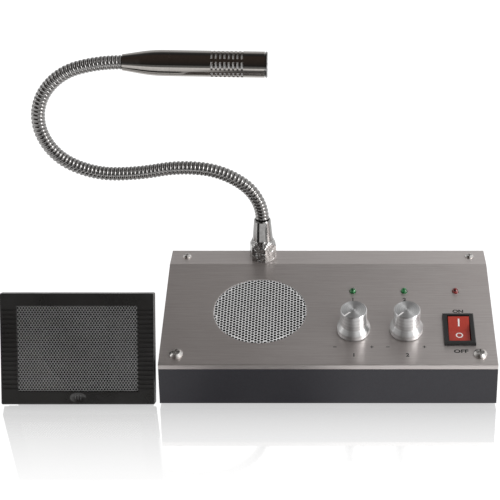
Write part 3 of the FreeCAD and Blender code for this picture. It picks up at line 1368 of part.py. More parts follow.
def pivot_screws():
    y, z = pivot_place()
    seat = ear_x() + STAND_SHEET + SEAM
    screw = pan_screw(PIVOT_SCREW_RADIUS, PIVOT_HEAD_RADIUS, PIVOT_HEAD_HEIGHT, PIVOT_SCREW_LENGTH)
    left = placed(screw, Placement(Vector(OUTER_X - seat, y, z), Rotation(Y_AXIS, -90)))
    right = placed(screw, Placement(Vector(OUTER_X + seat, y, z), Rotation(Y_AXIS, 90)))
    return [left, right]


def main():
    os.makedirs("parts", exist_ok=True)
    save("top_plate", top_plate())
    save("base_tray", base_tray())
    save("rubber_feet", *rubber_feet())
    save("front_screws", *plate_screws(True))
    save("rear_screws", *plate_screws(False))
    save("speaker_grille", speaker_grille())
    save("speaker_gasket", speaker_gasket())
    save("speaker_basket", speaker_basket())
    save("speaker_cone", speaker_cone())
    save("speaker_magnet", speaker_magnet())
    save("speaker_clips", *speaker_clips())
    save("left_volume_knob", volume_knob(KNOB_XS[0]))
    save("right_volume_knob", volume_knob(KNOB_XS[1]))
    save("left_pot_shaft", pot_shaft(KNOB_XS[0]))
    save("right_pot_shaft", pot_shaft(KNOB_XS[1]))
    save("pot_bodies", *[pot_body(x) for x in KNOB_XS])
    save("pot_nuts", *[pot_nut(x) for x in KNOB_XS])
    save("left_lamp", led(LED_XS[0]))
    save("middle_lamp", led(LED_XS[1]))
    save("power_lamp", led(LED_XS[2]))
    save("control_board", control_board())
    save("switch_frame", switch_frame())
    save("switch_rocker", switch_rocker())
    save("switch_terminals", *switch_terminals())
    save("main_board", main_board())
    save("board_standoffs", *board_standoffs())
    save("board_screws", *board_screws())
    save("heat_sink", heat_sink())
    save("capacitors", *capacitors())
    save("power_inlet", power_inlet())
    save("outer_unit_socket", outer_unit_socket())
    save("neck_nut", neck_nut())
    save("neck_lock_nut", neck_lock_nut())
    save("neck_sleeve", neck_sleeve())
    for index in range(len(LINK_TURNS)):
        save("neck_link_%d" % (index + 1), neck_link(index))
    save("mic_collar", mic_collar())
    save("mic_barrel", mic_barrel())
    save("mic_screen", mic_screen())
    save("mic_capsule", mic_capsule())
    save("mic_end_cap", mic_end_cap())
    save("outer_bezel", outer_bezel())
    save("outer_mesh", outer_mesh())
    save("outer_housing", outer_housing())
    save("housing_screws", *housing_screws())
    save("outer_speaker_frame", outer_speaker_frame())
    save("outer_speaker_cone", outer_speaker_cone())
    save("outer_speaker_magnet", outer_speaker_magnet())
    save("outer_mic_capsule", outer_mic_capsule())
    save("cable_grommet", cable_grommet())
    save("stand_bracket", stand_bracket())
    save("stand_pad", stand_pad())
    save("pivot_screws", *pivot_screws())


main()
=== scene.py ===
import json
import math

import bmesh
import bpy
from mathutils import Matrix, Vector


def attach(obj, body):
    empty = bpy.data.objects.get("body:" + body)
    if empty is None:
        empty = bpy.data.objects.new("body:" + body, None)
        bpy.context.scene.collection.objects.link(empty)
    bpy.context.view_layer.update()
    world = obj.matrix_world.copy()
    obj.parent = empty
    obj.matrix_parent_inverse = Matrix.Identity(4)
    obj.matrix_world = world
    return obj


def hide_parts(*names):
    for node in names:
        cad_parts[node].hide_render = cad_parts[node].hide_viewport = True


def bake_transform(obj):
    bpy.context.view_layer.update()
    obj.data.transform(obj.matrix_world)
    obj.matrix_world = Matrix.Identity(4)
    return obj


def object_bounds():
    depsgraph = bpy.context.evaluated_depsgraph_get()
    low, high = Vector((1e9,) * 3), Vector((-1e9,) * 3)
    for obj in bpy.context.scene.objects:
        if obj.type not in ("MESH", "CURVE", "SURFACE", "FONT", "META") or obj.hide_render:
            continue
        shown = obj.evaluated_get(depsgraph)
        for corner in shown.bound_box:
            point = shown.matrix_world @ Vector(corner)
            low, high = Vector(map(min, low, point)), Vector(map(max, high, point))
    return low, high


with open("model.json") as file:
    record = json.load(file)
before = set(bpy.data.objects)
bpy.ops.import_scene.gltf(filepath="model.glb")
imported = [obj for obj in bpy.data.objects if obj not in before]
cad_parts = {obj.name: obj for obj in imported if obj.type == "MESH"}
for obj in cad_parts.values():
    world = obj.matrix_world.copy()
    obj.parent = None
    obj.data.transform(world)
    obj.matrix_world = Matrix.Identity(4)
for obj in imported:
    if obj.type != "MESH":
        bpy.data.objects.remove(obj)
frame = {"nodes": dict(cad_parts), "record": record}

# The looks of the teller window intercom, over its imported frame. Blender works in metres.
# Sizes and places of the object are in the drawing's millimetres, and become metres in mm(),
# panel(), outer_face(), mesh_of() and where a node tree gets them. The room is in metres.
CAD_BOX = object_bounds()
NODES = frame["nodes"]
SLOT_OF = {piece["node"]: piece["material_slot"] for piece in frame["record"]["subparts"]}

# --- Sizes of the drawing that the pieces below are fitted to ------------------------------
MIDDLE_X, MIDDLE_Y = 37.35, 1.5
SLOPE = math.radians(15.5)
PANEL_LENGTH = 72.0
REAR_STRIP = 16.5
FRONT_Y = -(PANEL_LENGTH * math.cos(SLOPE) + REAR_STRIP) / 2
PANEL_Z = 22.3
PLATE_SHEET = 1.2

NECK_NUT_HEIGHT = 10.5
SLEEVE_HEIGHT = 10.7
NECK_X = -33.2
NECK_Y = -FRONT_Y - REAR_STRIP / 2
NECK_Z = PANEL_Z + PANEL_LENGTH * math.sin(SLOPE) + NECK_NUT_HEIGHT + SLEEVE_HEIGHT
LINK = 21.9
LINK_TURNS = (52.0, 31.0, 17.5, -10.5, -27.5, -45.0, -50.5, -41.5, -16.5)
NECK_RADIUS = 3.5

CONTROL_V = 23.4
KNOB_X = {"left_volume": 12.2, "right_volume": 37.6}
KNOB_HEIGHT = 13.8
KNOB_RADIUS = 6.3
KNOB_REST = math.radians(-135)
POINTER_START = 2.4
POINTER_DROP = 2.6
SWITCH_X = 63.0
ROCKER_TILT = math.radians(11)
ROCKER_DEPTH = 3.4
ROCKER_FACE = 3.5

GRILLE_X, GRILLE_V = -33.2, 37.4
GRILLE_SUNK = 0.2
GRILLE_FLANGE = 25.5
FLANGE_SHEET = 0.5

OUTER_X, OUTER_FORWARD, OUTER_LIFT = -118.3, 3.0, 2.5
OUTER_LEAN = math.radians(20)
SHEET_SIZE = (58.6, 42.6)
SHEET_THICKNESS = 0.6
SHEET_BACK = 1.6
SHEET_MIDDLE = 26.5

# --- Sizes of what is drawn only here --------------------------------------------------------
RINGS_PER_LINK = 11
COIL_PITCH = LINK / RINGS_PER_LINK
COIL_GROOVE = 0.44
COIL_LEAN = math.radians(4)
COIL_STEP = 0.9
WIRE_SHARE = 1.6  # the wire's radius, in grooves
CORE_SIDES, WIRE_SIDES, RING_SIDES = 32, 10, 40

STAGGER = 0.25  # rows of holes stand this share of a pitch to the left and right in turn
HOLE_SIDES = 10
MERGE_DISTANCE = 0.005
SHEET_COUNT = (43, 41)
SHEET_PITCH = (1.35, 1.02)
SHEET_HOLE = 0.51

GRILLE_FACE = 22.65
GRILLE_SHEET = 0.35
GRILLE_COUNT = 31
GRILLE_PITCH = 1.775
GRILLE_ROW = GRILLE_PITCH * math.sqrt(3) / 2
GRILLE_HOLE = 0.74
GRILLE_REACH = GRILLE_FACE - GRILLE_HOLE - 0.1  # the last whole holes
GRILLE_BITE = GRILLE_FACE - 0.25  # the first holes that bite into the rim
GRILLE_WALL = (GRILLE_FACE - 0.02, GRILLE_FACE + 0.14)
RIM_STEPS = 900
WALL_STEPS = 96

INK = 0.02
PRINT_HEIGHT = 2.3
PRINT_WEIGHT = 0.035
DIGIT_WIDTH = {"1": 0.5, "2": 1.6}
KNOB_DIGIT_V, LAMP_DIGIT_V = 6.7, 45.4
SIGN_LENGTH, SIGN_STROKE = 1.7, 0.35
SIGN_V = 12.1
MINUS_X = {"left_volume": 3.2, "right_volume": 28.4}
PLUS_X = {"left_volume": 20.8, "right_volume": 45.8}
STROKE_SIZE, STROKE_PLACE = (0.75, 4.0), 4.7
CIRCLE_RADII, CIRCLE_PLACE = (1.75, 1.2), -2.7

POINTER_WIDTH = 0.74
POINTER_PAINT = 0.14
POINTER_SUNK = 0.19  # the top's paint, below the knob's top
POINTER_INSET = 0.2  # the side's paint, inside the knob's side
POINTER_EDGE = 0.25  # where the side's paint starts
POINTER_SHORT = 0.3  # how much shorter the side's paint is than its groove


def mm(x, y, z):
    """A point of the desk unit's drawing, in the frame's metres."""
    return Vector((x + MIDDLE_X, y + MIDDLE_Y, z)) / 1000


def panel(x, v, h=0.0):
    """A place on the sloping panel: across, up the slope and out of it."""
    c, s = math.cos(SLOPE), math.sin(SLOPE)
    corner = mm(x, FRONT_Y + v * c - h * s, PANEL_Z + v * s + h * c)
    return Matrix.Translation(corner) @ Matrix.Rotation(SLOPE, 4, "X")


def outer_face(x, up, depth):
    """A place on the outer unit's leaning face, with Z pointing out of it."""
    c, s = math.cos(OUTER_LEAN), math.sin(OUTER_LEAN)
    y = FRONT_Y - OUTER_FORWARD + depth * c + up * s
    corner = mm(OUTER_X + x, y, OUTER_LIFT - depth * s + up * c)
    return Matrix.Translation(corner) @ Matrix.Rotation(math.pi / 2 - OUTER_LEAN, 4, "X")


# --- Node trees ----------------------------------------------------------------------------
class Tree:
    """Builds a node tree: an input given as a socket is linked, and anything else is set."""

    def __init__(self, tree):
        self.tree = tree

    def link(self, start, end):
        self.tree.links.new(start, end)

    def add(self, kind, inputs=None, **settings):
        node = self.tree.nodes.new(kind)
        for key, value in settings.items():
            setattr(node, key, value)
        for key, value in (inputs or {}).items():
            if isinstance(value, bpy.types.NodeSocket):
                self.link(value, node.inputs[key])
            else:
                node.inputs[key].default_value = value
        return node

    def math(self, operation, *values):
        return self.add("ShaderNodeMath", dict(enumerate(values)), operation=operation).outputs[0]

    def vector(self, operation, *values):
        """A vector worked out from vectors."""
        node = self.add("ShaderNodeVectorMath", dict(enumerate(values)), operation=operation)
        return node.outputs["Vector"]

    def measure(self, operation, *values):
        """A number worked out from vectors, such as a length."""
        node = self.add("ShaderNodeVectorMath", dict(enumerate(values)), operation=operation)
        return node.outputs["Value"]

    def xyz(self, *values):
        return self.add("ShaderNodeCombineXYZ", dict(enumerate(values))).outputs[0]

    def split(self, vector):
        return self.add("ShaderNodeSeparateXYZ", {0: vector}).outputs

    def to_world(self, way):
        """A direction of the piece, as the room has it."""
        node = self.add(
            "ShaderNodeVectorTransform", {0: way},
            vector_type="VECTOR", convert_from="OBJECT", convert_to="WORLD",
        )
        return node.outputs[0]

    def noise(self, vector, scale, detail=2.0, roughness=0.5):
        inputs = {"Vector": vector, "Scale": scale, "Detail": detail, "Roughness": roughness}
        return self.add("ShaderNodeTexNoise", inputs).outputs[0]

    def bump(self, height, strength, distance):
        inputs = {"Strength": strength, "Distance": distance, "Height": height}
        return self.add("ShaderNodeBump", inputs).outputs[0]

    def ramp(self, value, *stops):
        """A colour ramp through (place, colour or grey) stops."""
        node = self.add("ShaderNodeValToRGB", {0: value})
        band = node.color_ramp.elements
        while len(band) < len(stops):
            band.new(0.5)
        for element, (place, tone) in zip(band, stops):
            element.position = place
            element.color = (*tone, 1) if isinstance(tone, tuple) else (tone, tone, tone, 1)
        return node.outputs[0]

    def mix(self, factor, first, second, blend="MIX"):
        """Two colours mixed."""
        inputs = {0: factor, 6: first, 7: second}
        return self.add("ShaderNodeMix", inputs, data_type="RGBA", blend_type=blend).outputs[2]

    def join(self, *shapes):
        node = self.add("GeometryNodeJoinGeometry")
        for shape in shapes:
            self.link(shape, node.inputs[0])
        return node.outputs[0]


def open_effect(name, **inputs):
    """A new shader group; an input is its value, or None for a vector without one."""
    tree = bpy.data.node_groups.new(name, "ShaderNodeTree")
    for label, value in inputs.items():
        kind = "NodeSocketFloat" if isinstance(value, float) else "NodeSocketVector"
        socket = tree.interface.new_socket(label, in_out="INPUT", socket_type=kind)
        if value is not None:
            socket.default_value = value
    t = Tree(tree)
    return t, t.add("NodeGroupInput").outputs


def close_effect(t, **outputs):
    """Ends a shader group; its Normal is a vector, and its other outputs are numbers."""
    for label in outputs:
        kind = "NodeSocketVector" if label == "Normal" else "NodeSocketFloat"
        t.tree.interface.new_socket(label, in_out="OUTPUT", socket_type=kind)
    ends = t.add("NodeGroupOutput").inputs
    for label, socket in outputs.items():
        t.link(socket, ends[label])
    return t.tree


# Cells of noise in a metre
BRUSH_STRETCH = (90.0, 3600.0, 3600.0)
TURNING_ACROSS, TURNING_ALONG = 7000.0, 2500.0
HANDLING_MARKS = 40.0
COARSE_GRAIN, METAL_GRAIN, FINE_GRAIN, PAPER_GRAIN = 420.0, 900.0, 2500.0, 4000.0
LENS_DEPTH = 700.0
TABLE_POLISH = 6.0

# How far the bumps of each kind of surface rise, in metres
SCRATCH_RISE, GRAIN_RISE, TURNING_RISE = 0.00005, 0.0001, 0.00004


def brushing_effect():
    """Scratches drawn out along one axis, coarse and fine together."""
    t, i = open_effect("brushing", Vector=None, Stretch=BRUSH_STRETCH, Depth=0.15)
    lines = t.vector("MULTIPLY", i["Vector"], i["Stretch"])
    fine = t.math("MULTIPLY", t.noise(lines, 1.0, 4.0, 0.75), 0.7)
    mask = t.math("ADD", fine, t.math("MULTIPLY", t.noise(lines, 0.4), 0.3))
    return close_effect(t, Mask=mask, Normal=t.bump(mask, i["Depth"], SCRATCH_RISE))


def grain_effect():
    """Fine surface grain, and soft marks of handling over it."""
    t, i = open_effect("grain", Vector=None, Fineness=FINE_GRAIN, Depth=0.2)
    mask = t.noise(i["Vector"], i["Fineness"])
    marks = t.ramp(t.noise(i["Vector"], HANDLING_MARKS, 4.0, 0.6), (0.35, 0.0), (0.7, 1.0))
    return close_effect(t, Mask=mask, Marks=marks, Normal=t.bump(mask, i["Depth"], GRAIN_RISE))


def turning_effect():
    """Lathe lines round an axis: they follow the distance from it and the height along it."""
    t, i = open_effect("turning", Radius=0.0, Height=0.0, Depth=0.2)
    across = t.math("MULTIPLY", i["Radius"], TURNING_ACROSS)
    along = t.math("MULTIPLY", i["Height"], TURNING_ALONG)
    mask = t.noise(t.xyz(across, along), 1.0)
    return close_effect(t, Mask=mask, Normal=t.bump(mask, i["Depth"], TURNING_RISE))


BRUSHING, GRAIN, TURNING = brushing_effect(), grain_effect(), turning_effect()


# --- Finishes ------------------------------------------------------------------------------
def new_finish(name):
    material = bpy.data.materials.new(name)
    material.use_nodes = True
    t = Tree(material.node_tree)
    return material, t, t.add("ShaderNodeTexCoord").outputs["Object"]


def finish(material, t, **values):
    """Sets the Principled shader's own inputs; an underscore in a name stands for a space."""
    shader = material.node_tree.nodes["Principled BSDF"]
    for key, value in values.items():
        socket = shader.inputs[key.replace("_", " ")]
        if isinstance(value, bpy.types.NodeSocket):
            t.link(value, socket)
        else:
            socket.default_value = value
    return material


def grained(t, place, fineness, depth):
    inputs = {"Vector": place, "Fineness": fineness, "Depth": depth}
    return t.add("ShaderNodeGroup", inputs, node_tree=GRAIN).outputs


def brushed_sheet(name, dark, light, roughness, highlight_way):
    """Steel brushed along X; its highlights are drawn out along highlight_way."""
    material, t, place = new_finish(name)
    lines = t.add("ShaderNodeGroup", {"Vector": place}, node_tree=BRUSHING).outputs
    marks = grained(t, place, METAL_GRAIN, 0.0)["Marks"]
    rough = t.math("MULTIPLY_ADD", lines["Mask"], 0.2, roughness - 0.1)
    return finish(
        material, t, Metallic=1.0, Anisotropic=0.8, Tangent=t.to_world(highlight_way),
        Base_Color=t.ramp(lines["Mask"], (0.35, dark), (0.65, light)),
        Roughness=t.math("MULTIPLY_ADD", marks, 0.05, rough), Normal=lines["Normal"],
    )


def turned_alloy(name, centre, axis):
    """Lathe-turned aluminium; its highlights run across the turning lines."""
    material, t, place = new_finish(name)
    arm = t.vector("SUBTRACT", place, centre)
    around = t.vector("CROSS_PRODUCT", axis, arm)
    inputs = {"Radius": t.measure("LENGTH", around), "Height": t.measure("DOT_PRODUCT", axis, arm)}
    lines = t.add("ShaderNodeGroup", inputs, node_tree=TURNING).outputs
    face = t.add("ShaderNodeNewGeometry").outputs["Normal"]
    across = t.vector("CROSS_PRODUCT", face, t.vector("NORMALIZE", t.to_world(around)))
    return finish(
        material, t, Metallic=1.0, Anisotropic=0.85, Tangent=across,
        Base_Color=t.ramp(lines["Mask"], (0.3, 0.54), (0.7, 0.76)),
        Roughness=t.math("MULTIPLY_ADD", lines["Mask"], 0.14, 0.30), Normal=lines["Normal"],
    )


def plated(name, dark, light, roughness=0.08, marks=0.06, depth=0.02, fineness=METAL_GRAIN):
    """Plated or polished metal: nearly a mirror, with faint marks of handling."""
    material, t, place = new_finish(name)
    grain = grained(t, place, fineness, depth)
    return finish(
        material, t, Metallic=1.0, Normal=grain["Normal"],
        Base_Color=t.ramp(grain["Mask"], (0.3, dark), (0.7, light)),
        Roughness=t.math("MULTIPLY_ADD", grain["Marks"], marks, roughness),
    )


def punched(name, dark, light, out, metallic=1.0):
    """Perforated sheet steel, which keeps its own colour where it faces out; painted shade darkens
    the walls of its holes and other faces that turn away from out.
    """
    material, t, place = new_finish(name)
    grain = grained(t, place, METAL_GRAIN, 0.1)
    normal = t.add("ShaderNodeTexCoord").outputs["Normal"]
    face = t.ramp(grain["Mask"], (0.3, dark), (0.7, light))
    # painted shade: the colour is multiplied down to 0.12 where a face turns away from out, as on
    # the hole walls
    painted_wall_shade = t.ramp(t.measure("DOT_PRODUCT", normal, out), (0.4, 0.12), (0.8, 1.0))
    return finish(
        material, t, Metallic=metallic, Normal=grain["Normal"],
        Base_Color=t.mix(1.0, face, painted_wall_shade, "MULTIPLY"),
        Roughness=t.math("MULTIPLY_ADD", grain["Marks"], 0.08, 0.42),
    )


def moulded(name, dark, light, roughness=0.5, fineness=FINE_GRAIN, depth=0.25, shine=0.5):
    """Plastic, rubber, paper, ink or paint, with its grain and marks of handling."""
    material, t, place = new_finish(name)
    grain = grained(t, place, fineness, depth)
    return finish(
        material, t, Normal=grain["Normal"], Specular_IOR_Level=shine,
        Base_Color=t.ramp(grain["Mask"], (0.3, dark), (0.7, light)),
        Roughness=t.math("MULTIPLY_ADD", grain["Marks"], 0.1, roughness),
    )


def lamp_lens(name, deep, bright):
    """Tinted epoxy, in which the chip's cup shows as uneven depth."""
    material, t, place = new_finish(name)
    depth = t.noise(place, LENS_DEPTH, 1.0)
    return finish(
        material, t, IOR=1.5, Transmission_Weight=0.25, Coat_Weight=0.6,
        Base_Color=t.ramp(depth, (0.38, deep), (0.62, bright)),
        Roughness=t.math("MULTIPLY_ADD", depth, 0.1, 0.08),
    )


def grey(tone, warmth=0.0):
    return (tone * (1 + warmth), tone, tone * (1 - warmth))


UP_THE_PANEL = (0, math.cos(SLOPE), math.sin(SLOPE))
OUT_OF_PANEL = (0, -math.sin(SLOPE), math.cos(SLOPE))
OUT_OF_OUTER = (0, -math.cos(OUTER_LEAN), math.sin(OUTER_LEAN))

# One finish for each material slot but the knobs': its kind, and what that kind asks for
SLOT_FINISHES = {
    "panel_steel": (brushed_sheet, (0.67, 0.615, 0.60), (0.80, 0.76, 0.74), 0.46, UP_THE_PANEL),
    "tray_paint": (moulded, (0.022, 0.0215, 0.027), (0.030, 0.029, 0.035), 0.42),
    "rubber": (moulded, grey(0.012), grey(0.022), 0.75),
    "screw_steel": (plated, grey(0.5, 0.03), grey(0.66, 0.03), 0.2, 0.1, 0.08),
    "grille_steel": (plated, grey(0.78), grey(0.88), 0.42, 0.08, 0.1),
    "driver_steel": (moulded, grey(0.010), grey(0.018), 0.5),
    "driver_paper": (moulded, grey(0.010), grey(0.022), 0.9, PAPER_GRAIN, 0.5),
    "ferrite": (moulded, grey(0.03), grey(0.05), 0.6),
    "bright_steel": (plated, grey(0.48), grey(0.60), 0.22),
    "nickel": (plated, grey(0.58, 0.04), grey(0.68, 0.04), 0.12),
    "lamp_green": (lamp_lens, (0.002, 0.05, 0.012), (0.008, 0.26, 0.06)),
    "lamp_red": (lamp_lens, (0.05, 0.004, 0.004), (0.28, 0.022, 0.02)),
    "circuit_board": (moulded, (0.010, 0.07, 0.025), (0.015, 0.10, 0.035), 0.35),
    "black_plastic": (moulded, grey(0.008), grey(0.016), 0.36),
    "outer_plastic": (moulded, grey(0.009, 0.06), grey(0.016, 0.06), 0.26, FINE_GRAIN, 0.15, 0.8),
    "rocker_red": (moulded, (0.36, 0.030, 0.018), (0.42, 0.045, 0.028), 0.3, FINE_GRAIN, 0.08),
    "brass": (plated, (0.62, 0.46, 0.20), (0.72, 0.56, 0.28), 0.25),
    "heat_sink_alloy": (plated, grey(0.03), grey(0.05), 0.4),
    "capacitor_can": (moulded, (0.012, 0.016, 0.07), (0.02, 0.025, 0.10), 0.25),
    "neck_chrome": (plated, grey(0.23, 0.02), grey(0.29, 0.02), 0.05),
    "mic_metal": (plated, grey(0.34, 0.06), grey(0.39, 0.06), 0.03, 0.03, 0.01),
    "stand_paint": (moulded, grey(0.010), grey(0.018), 0.45),
}
FINISHES = {slot: make(slot, *values) for slot, (make, *values) in SLOT_FINISHES.items()}

# Finishes of single pieces
# Both punched finishes below carry painted shade: faces turned away from the sheet's outward side,
# such as the hole walls, are darkened.
MESH_STEEL = punched("mesh_steel", grey(0.39), grey(0.52), OUT_OF_OUTER)
GRILLE_STEEL = punched("grille_steel_face", grey(0.82), grey(0.92), OUT_OF_PANEL, 0.35)
NUT_CHROME = plated("nut_chrome", grey(0.27, 0.02), grey(0.36, 0.02), 0.04, 0.04, 9.0, COARSE_GRAIN)
WHITE_PAINT = moulded("white_paint", grey(0.70, 0.02), grey(0.80, 0.02), 0.5)
BLACK_INK = moulded("black_ink", grey(0.010), grey(0.018), 0.55)


def finish_frame_nodes():
    """Gives each node of the frame its own finish, or else its slot's."""
    own = {"neck_nut": NUT_CHROME}
    for side, x in KNOB_X.items():
        centre = panel(x, CONTROL_V).translation
        own[side + "_knob"] = turned_alloy(side + "_alloy", centre, OUT_OF_PANEL)
    for name, obj in NODES.items():
        obj.data.materials.clear()
        obj.data.materials.append(own.get(name) or FINISHES[SLOT_OF[name]])


# --- Pieces drawn here ---------------------------------------------------------------------
def add_piece(name, mesh, material, body=None):
    mesh.materials.clear()
    mesh.materials.append(material)
    piece = bpy.data.objects.new(name, mesh)
    bpy.context.scene.collection.objects.link(piece)
    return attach(piece, body) if body else piece


def baked(obj):
    """The evaluated object as a plain mesh; the object itself is removed."""
    bpy.context.view_layer.update()
    evaluated = obj.evaluated_get(bpy.context.evaluated_depsgraph_get())
    mesh = bpy.data.meshes.new_from_object(evaluated)
    bpy.data.objects.remove(obj)
    return mesh


def mesh_of(name, shape, matrix):
    """Ends a bmesh drawn in millimetres about the matrix's place."""
    shape.transform(matrix @ Matrix.Scale(0.001, 4))
    mesh = bpy.data.meshes.new(name)
    shape.to_mesh(mesh)
    shape.free()
    return mesh


def bar(name, size, matrix):
    """A bar of a size in millimetres about the matrix's place."""
    shape = bmesh.new()
    bmesh.ops.create_cube(shape, size=1)
    bmesh.ops.transform(shape, matrix=Matrix.Diagonal((*size, 1)), verts=shape.verts)
    return mesh_of(name, shape, matrix)


def turned_ring(name, profile, matrix, steps=40):
    """A ring turned about the matrix's Z axis from a closed profile, up on its outside."""
    shape = bmesh.new()
    loops = []
    for radius, height in profile:
        turns = [2 * math.pi * k / steps for k in range(steps)]
        points = [(radius * math.cos(a), radius * math.sin(a), height) for a in turns]
        loops.append([shape.verts.new(point) for point in points])
    for first, second in zip(loops, loops[1:] + loops[:1]):
        for k in range(steps):
            n = (k + 1) % steps
            shape.faces.new((first[k], first[n], second[n], second[k]))
    return mesh_of(name, shape, matrix)


def line_object(name, points, closed=False):
    """An object with a line of straight stretches through points in metres."""
    line = bpy.data.curves.new(name, "CURVE")
    line.dimensions = "3D"
    spline = line.splines.new("POLY")
    spline.points.add(len(points) - 1)
    spline.use_cyclic_u = closed
    for spot, point in zip(spline.points, points):
        spot.co = (*point, 1)
    return bpy.data.objects.new(name, line)


def geometry_tree(name, inputs, output):
    """A new Geometry Nodes tree; inputs map a name to its kind, and output is a name."""
    tree = bpy.data.node_groups.new(name, "GeometryNodeTree")
    tree.is_modifier = True
    for label, kind in inputs.items():
        tree.interface.new_socket(label, in_out="INPUT", socket_type="NodeSocket" + kind)
    tree.interface.new_socket(output, in_out="OUTPUT", socket_type="NodeSocketGeometry")
    t = Tree(tree)
    return t, t.add("NodeGroupInput").outputs


def close_geometry(t, shape, material):
    """Ends a Geometry Nodes tree with its shape in its material."""
    done = t.add("GeometryNodeSetMaterial", {"Geometry": shape, "Material": material})
    t.link(done.outputs[0], t.add("NodeGroupOutput").inputs[0])
    return t.tree


def shaped(obj, tree, values):
    """Runs a node tree with its named inputs on an object, and gives the mesh that comes out."""
    bpy.context.scene.collection.objects.link(obj)
    modifier = obj.modifiers.new(tree.name, "NODES")
    modifier.node_group = tree
    for item in tree.interface.items_tree:
        if item.name in values:
            modifier[item.identifier] = values[item.name]
    return baked(obj)


# --- Gooseneck -----------------------------------------------------------------------------
def neck_point(length):
    """The neck's middle line at a length in millimetres from its sleeve."""
    x, z, heading = NECK_X, NECK_Z, 90.0
    for turn in LINK_TURNS:
        if length <= 0:
            break
        part = min(length, LINK)
        bend = turn * part / LINK
        half = math.radians(bend / 2)
        chord = part * math.sin(half) / half
        way = math.radians(heading + bend / 2)
        x, z = x + chord * math.cos(way), z + chord * math.sin(way)
        heading += bend
        length -= LINK
    return mm(x, NECK_Y, z)


def coil_tree():
    """A core along a curve with rings of flattened wire side by side round it."""
    t, i = geometry_tree("neck_coil", {
        "Line": "Geometry", "Rings": "Int", "Radius": "Float", "Pitch": "Float",
        "Groove": "Float", "Lean": "Float", "Finish": "Material",
    }, "Coil")
    half_pitch = t.math("MULTIPLY", i["Pitch"], 0.5)
    wire_radius = t.math("MULTIPLY", i["Groove"], WIRE_SHARE)

    def circle(sides, radius):
        inputs = {"Resolution": sides, "Radius": radius}
        return t.add("GeometryNodeCurvePrimitiveCircle", inputs).outputs[0]

    def tube(line, section):
        inputs = {"Curve": line, "Profile Curve": section}
        return t.add("GeometryNodeCurveToMesh", inputs).outputs[0]

    core_radius = t.math("SUBTRACT", i["Radius"], i["Groove"])
    core = tube(i["Line"], circle(CORE_SIDES, core_radius))
    ring_radius = t.math("SUBTRACT", i["Radius"], wire_radius)
    ring = tube(circle(RING_SIDES, ring_radius), circle(WIRE_SIDES, wire_radius))
    widen = t.xyz(1.0, 1.0, t.math("DIVIDE", half_pitch, wire_radius))
    ring = t.add("GeometryNodeTransform", {"Geometry": ring, "Scale": widen}).outputs[0]

    length = t.add("GeometryNodeCurveLength", {0: i["Line"]}).outputs[0]
    last = t.math("SUBTRACT", length, half_pitch)
    inputs = {"Curve": i["Line"], 4: half_pitch, 5: last}  # 4 and 5 are its start and end lengths
    inner = t.add("GeometryNodeTrimCurve", inputs, mode="LENGTH").outputs[0]
    inputs = {"Curve": inner, "Count": i["Rings"]}
    places = t.add("GeometryNodeCurveToPoints", inputs, mode="COUNT").outputs
    inputs = {"Points": places["Points"], "Instance": ring, "Rotation": places["Rotation"]}
    rings = t.add("GeometryNodeInstanceOnPoints", inputs).outputs[0]
    inputs = {"Instances": rings, "Rotation": t.xyz(i["Lean"], 0.0, 0.0)}
    rings = t.add("GeometryNodeRotateInstances", inputs).outputs[0]

    smooth = t.add("GeometryNodeSetShadeSmooth", {0: t.join(rings, core)}).outputs[0]
    real = t.add("GeometryNodeRealizeInstances", {0: smooth}).outputs[0]
    return close_geometry(t, real, i["Finish"])


def coil_mesh(tree, name, low, high):
    """The coil between two lengths along the neck."""
    steps = math.ceil((high - low) / COIL_STEP)
    points = [neck_point(low + (high - low) * k / steps) for k in range(steps + 1)]
    return shaped(line_object(name, points), tree, {
        "Rings": round((high - low) / COIL_PITCH),
        "Radius": NECK_RADIUS / 1000,
        "Pitch": COIL_PITCH / 1000,
        "Groove": COIL_GROOVE / 1000,
        "Lean": COIL_LEAN,
        "Finish": FINISHES["neck_chrome"],
    })


def make_neck():
    """The flexible tube: half a link at each end, and a piece across every joint."""
    tree = coil_tree()
    chrome = FINISHES["neck_chrome"]
    links = len(LINK_TURNS)
    mesh = coil_mesh(tree, "neck_coil_foot", 0, LINK / 2)
    foot = add_piece("neck_coil_foot", mesh, chrome, "desk_unit")
    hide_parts("neck_link_1")
    for k in range(1, links):
        low, high = (k - 0.5) * LINK, (k + 0.5) * LINK
        name = "neck_coil_%d" % k
        piece = add_piece(name, coil_mesh(tree, name, low, high), chrome)
        neck_point(low)
        neck_point(high)
        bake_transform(piece)
        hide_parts("neck_link_%d" % (k + 1))
    mesh = coil_mesh(tree, "neck_coil_head", (links - 0.5) * LINK, links * LINK)
    add_piece("neck_coil_head", mesh, chrome, "microphone")


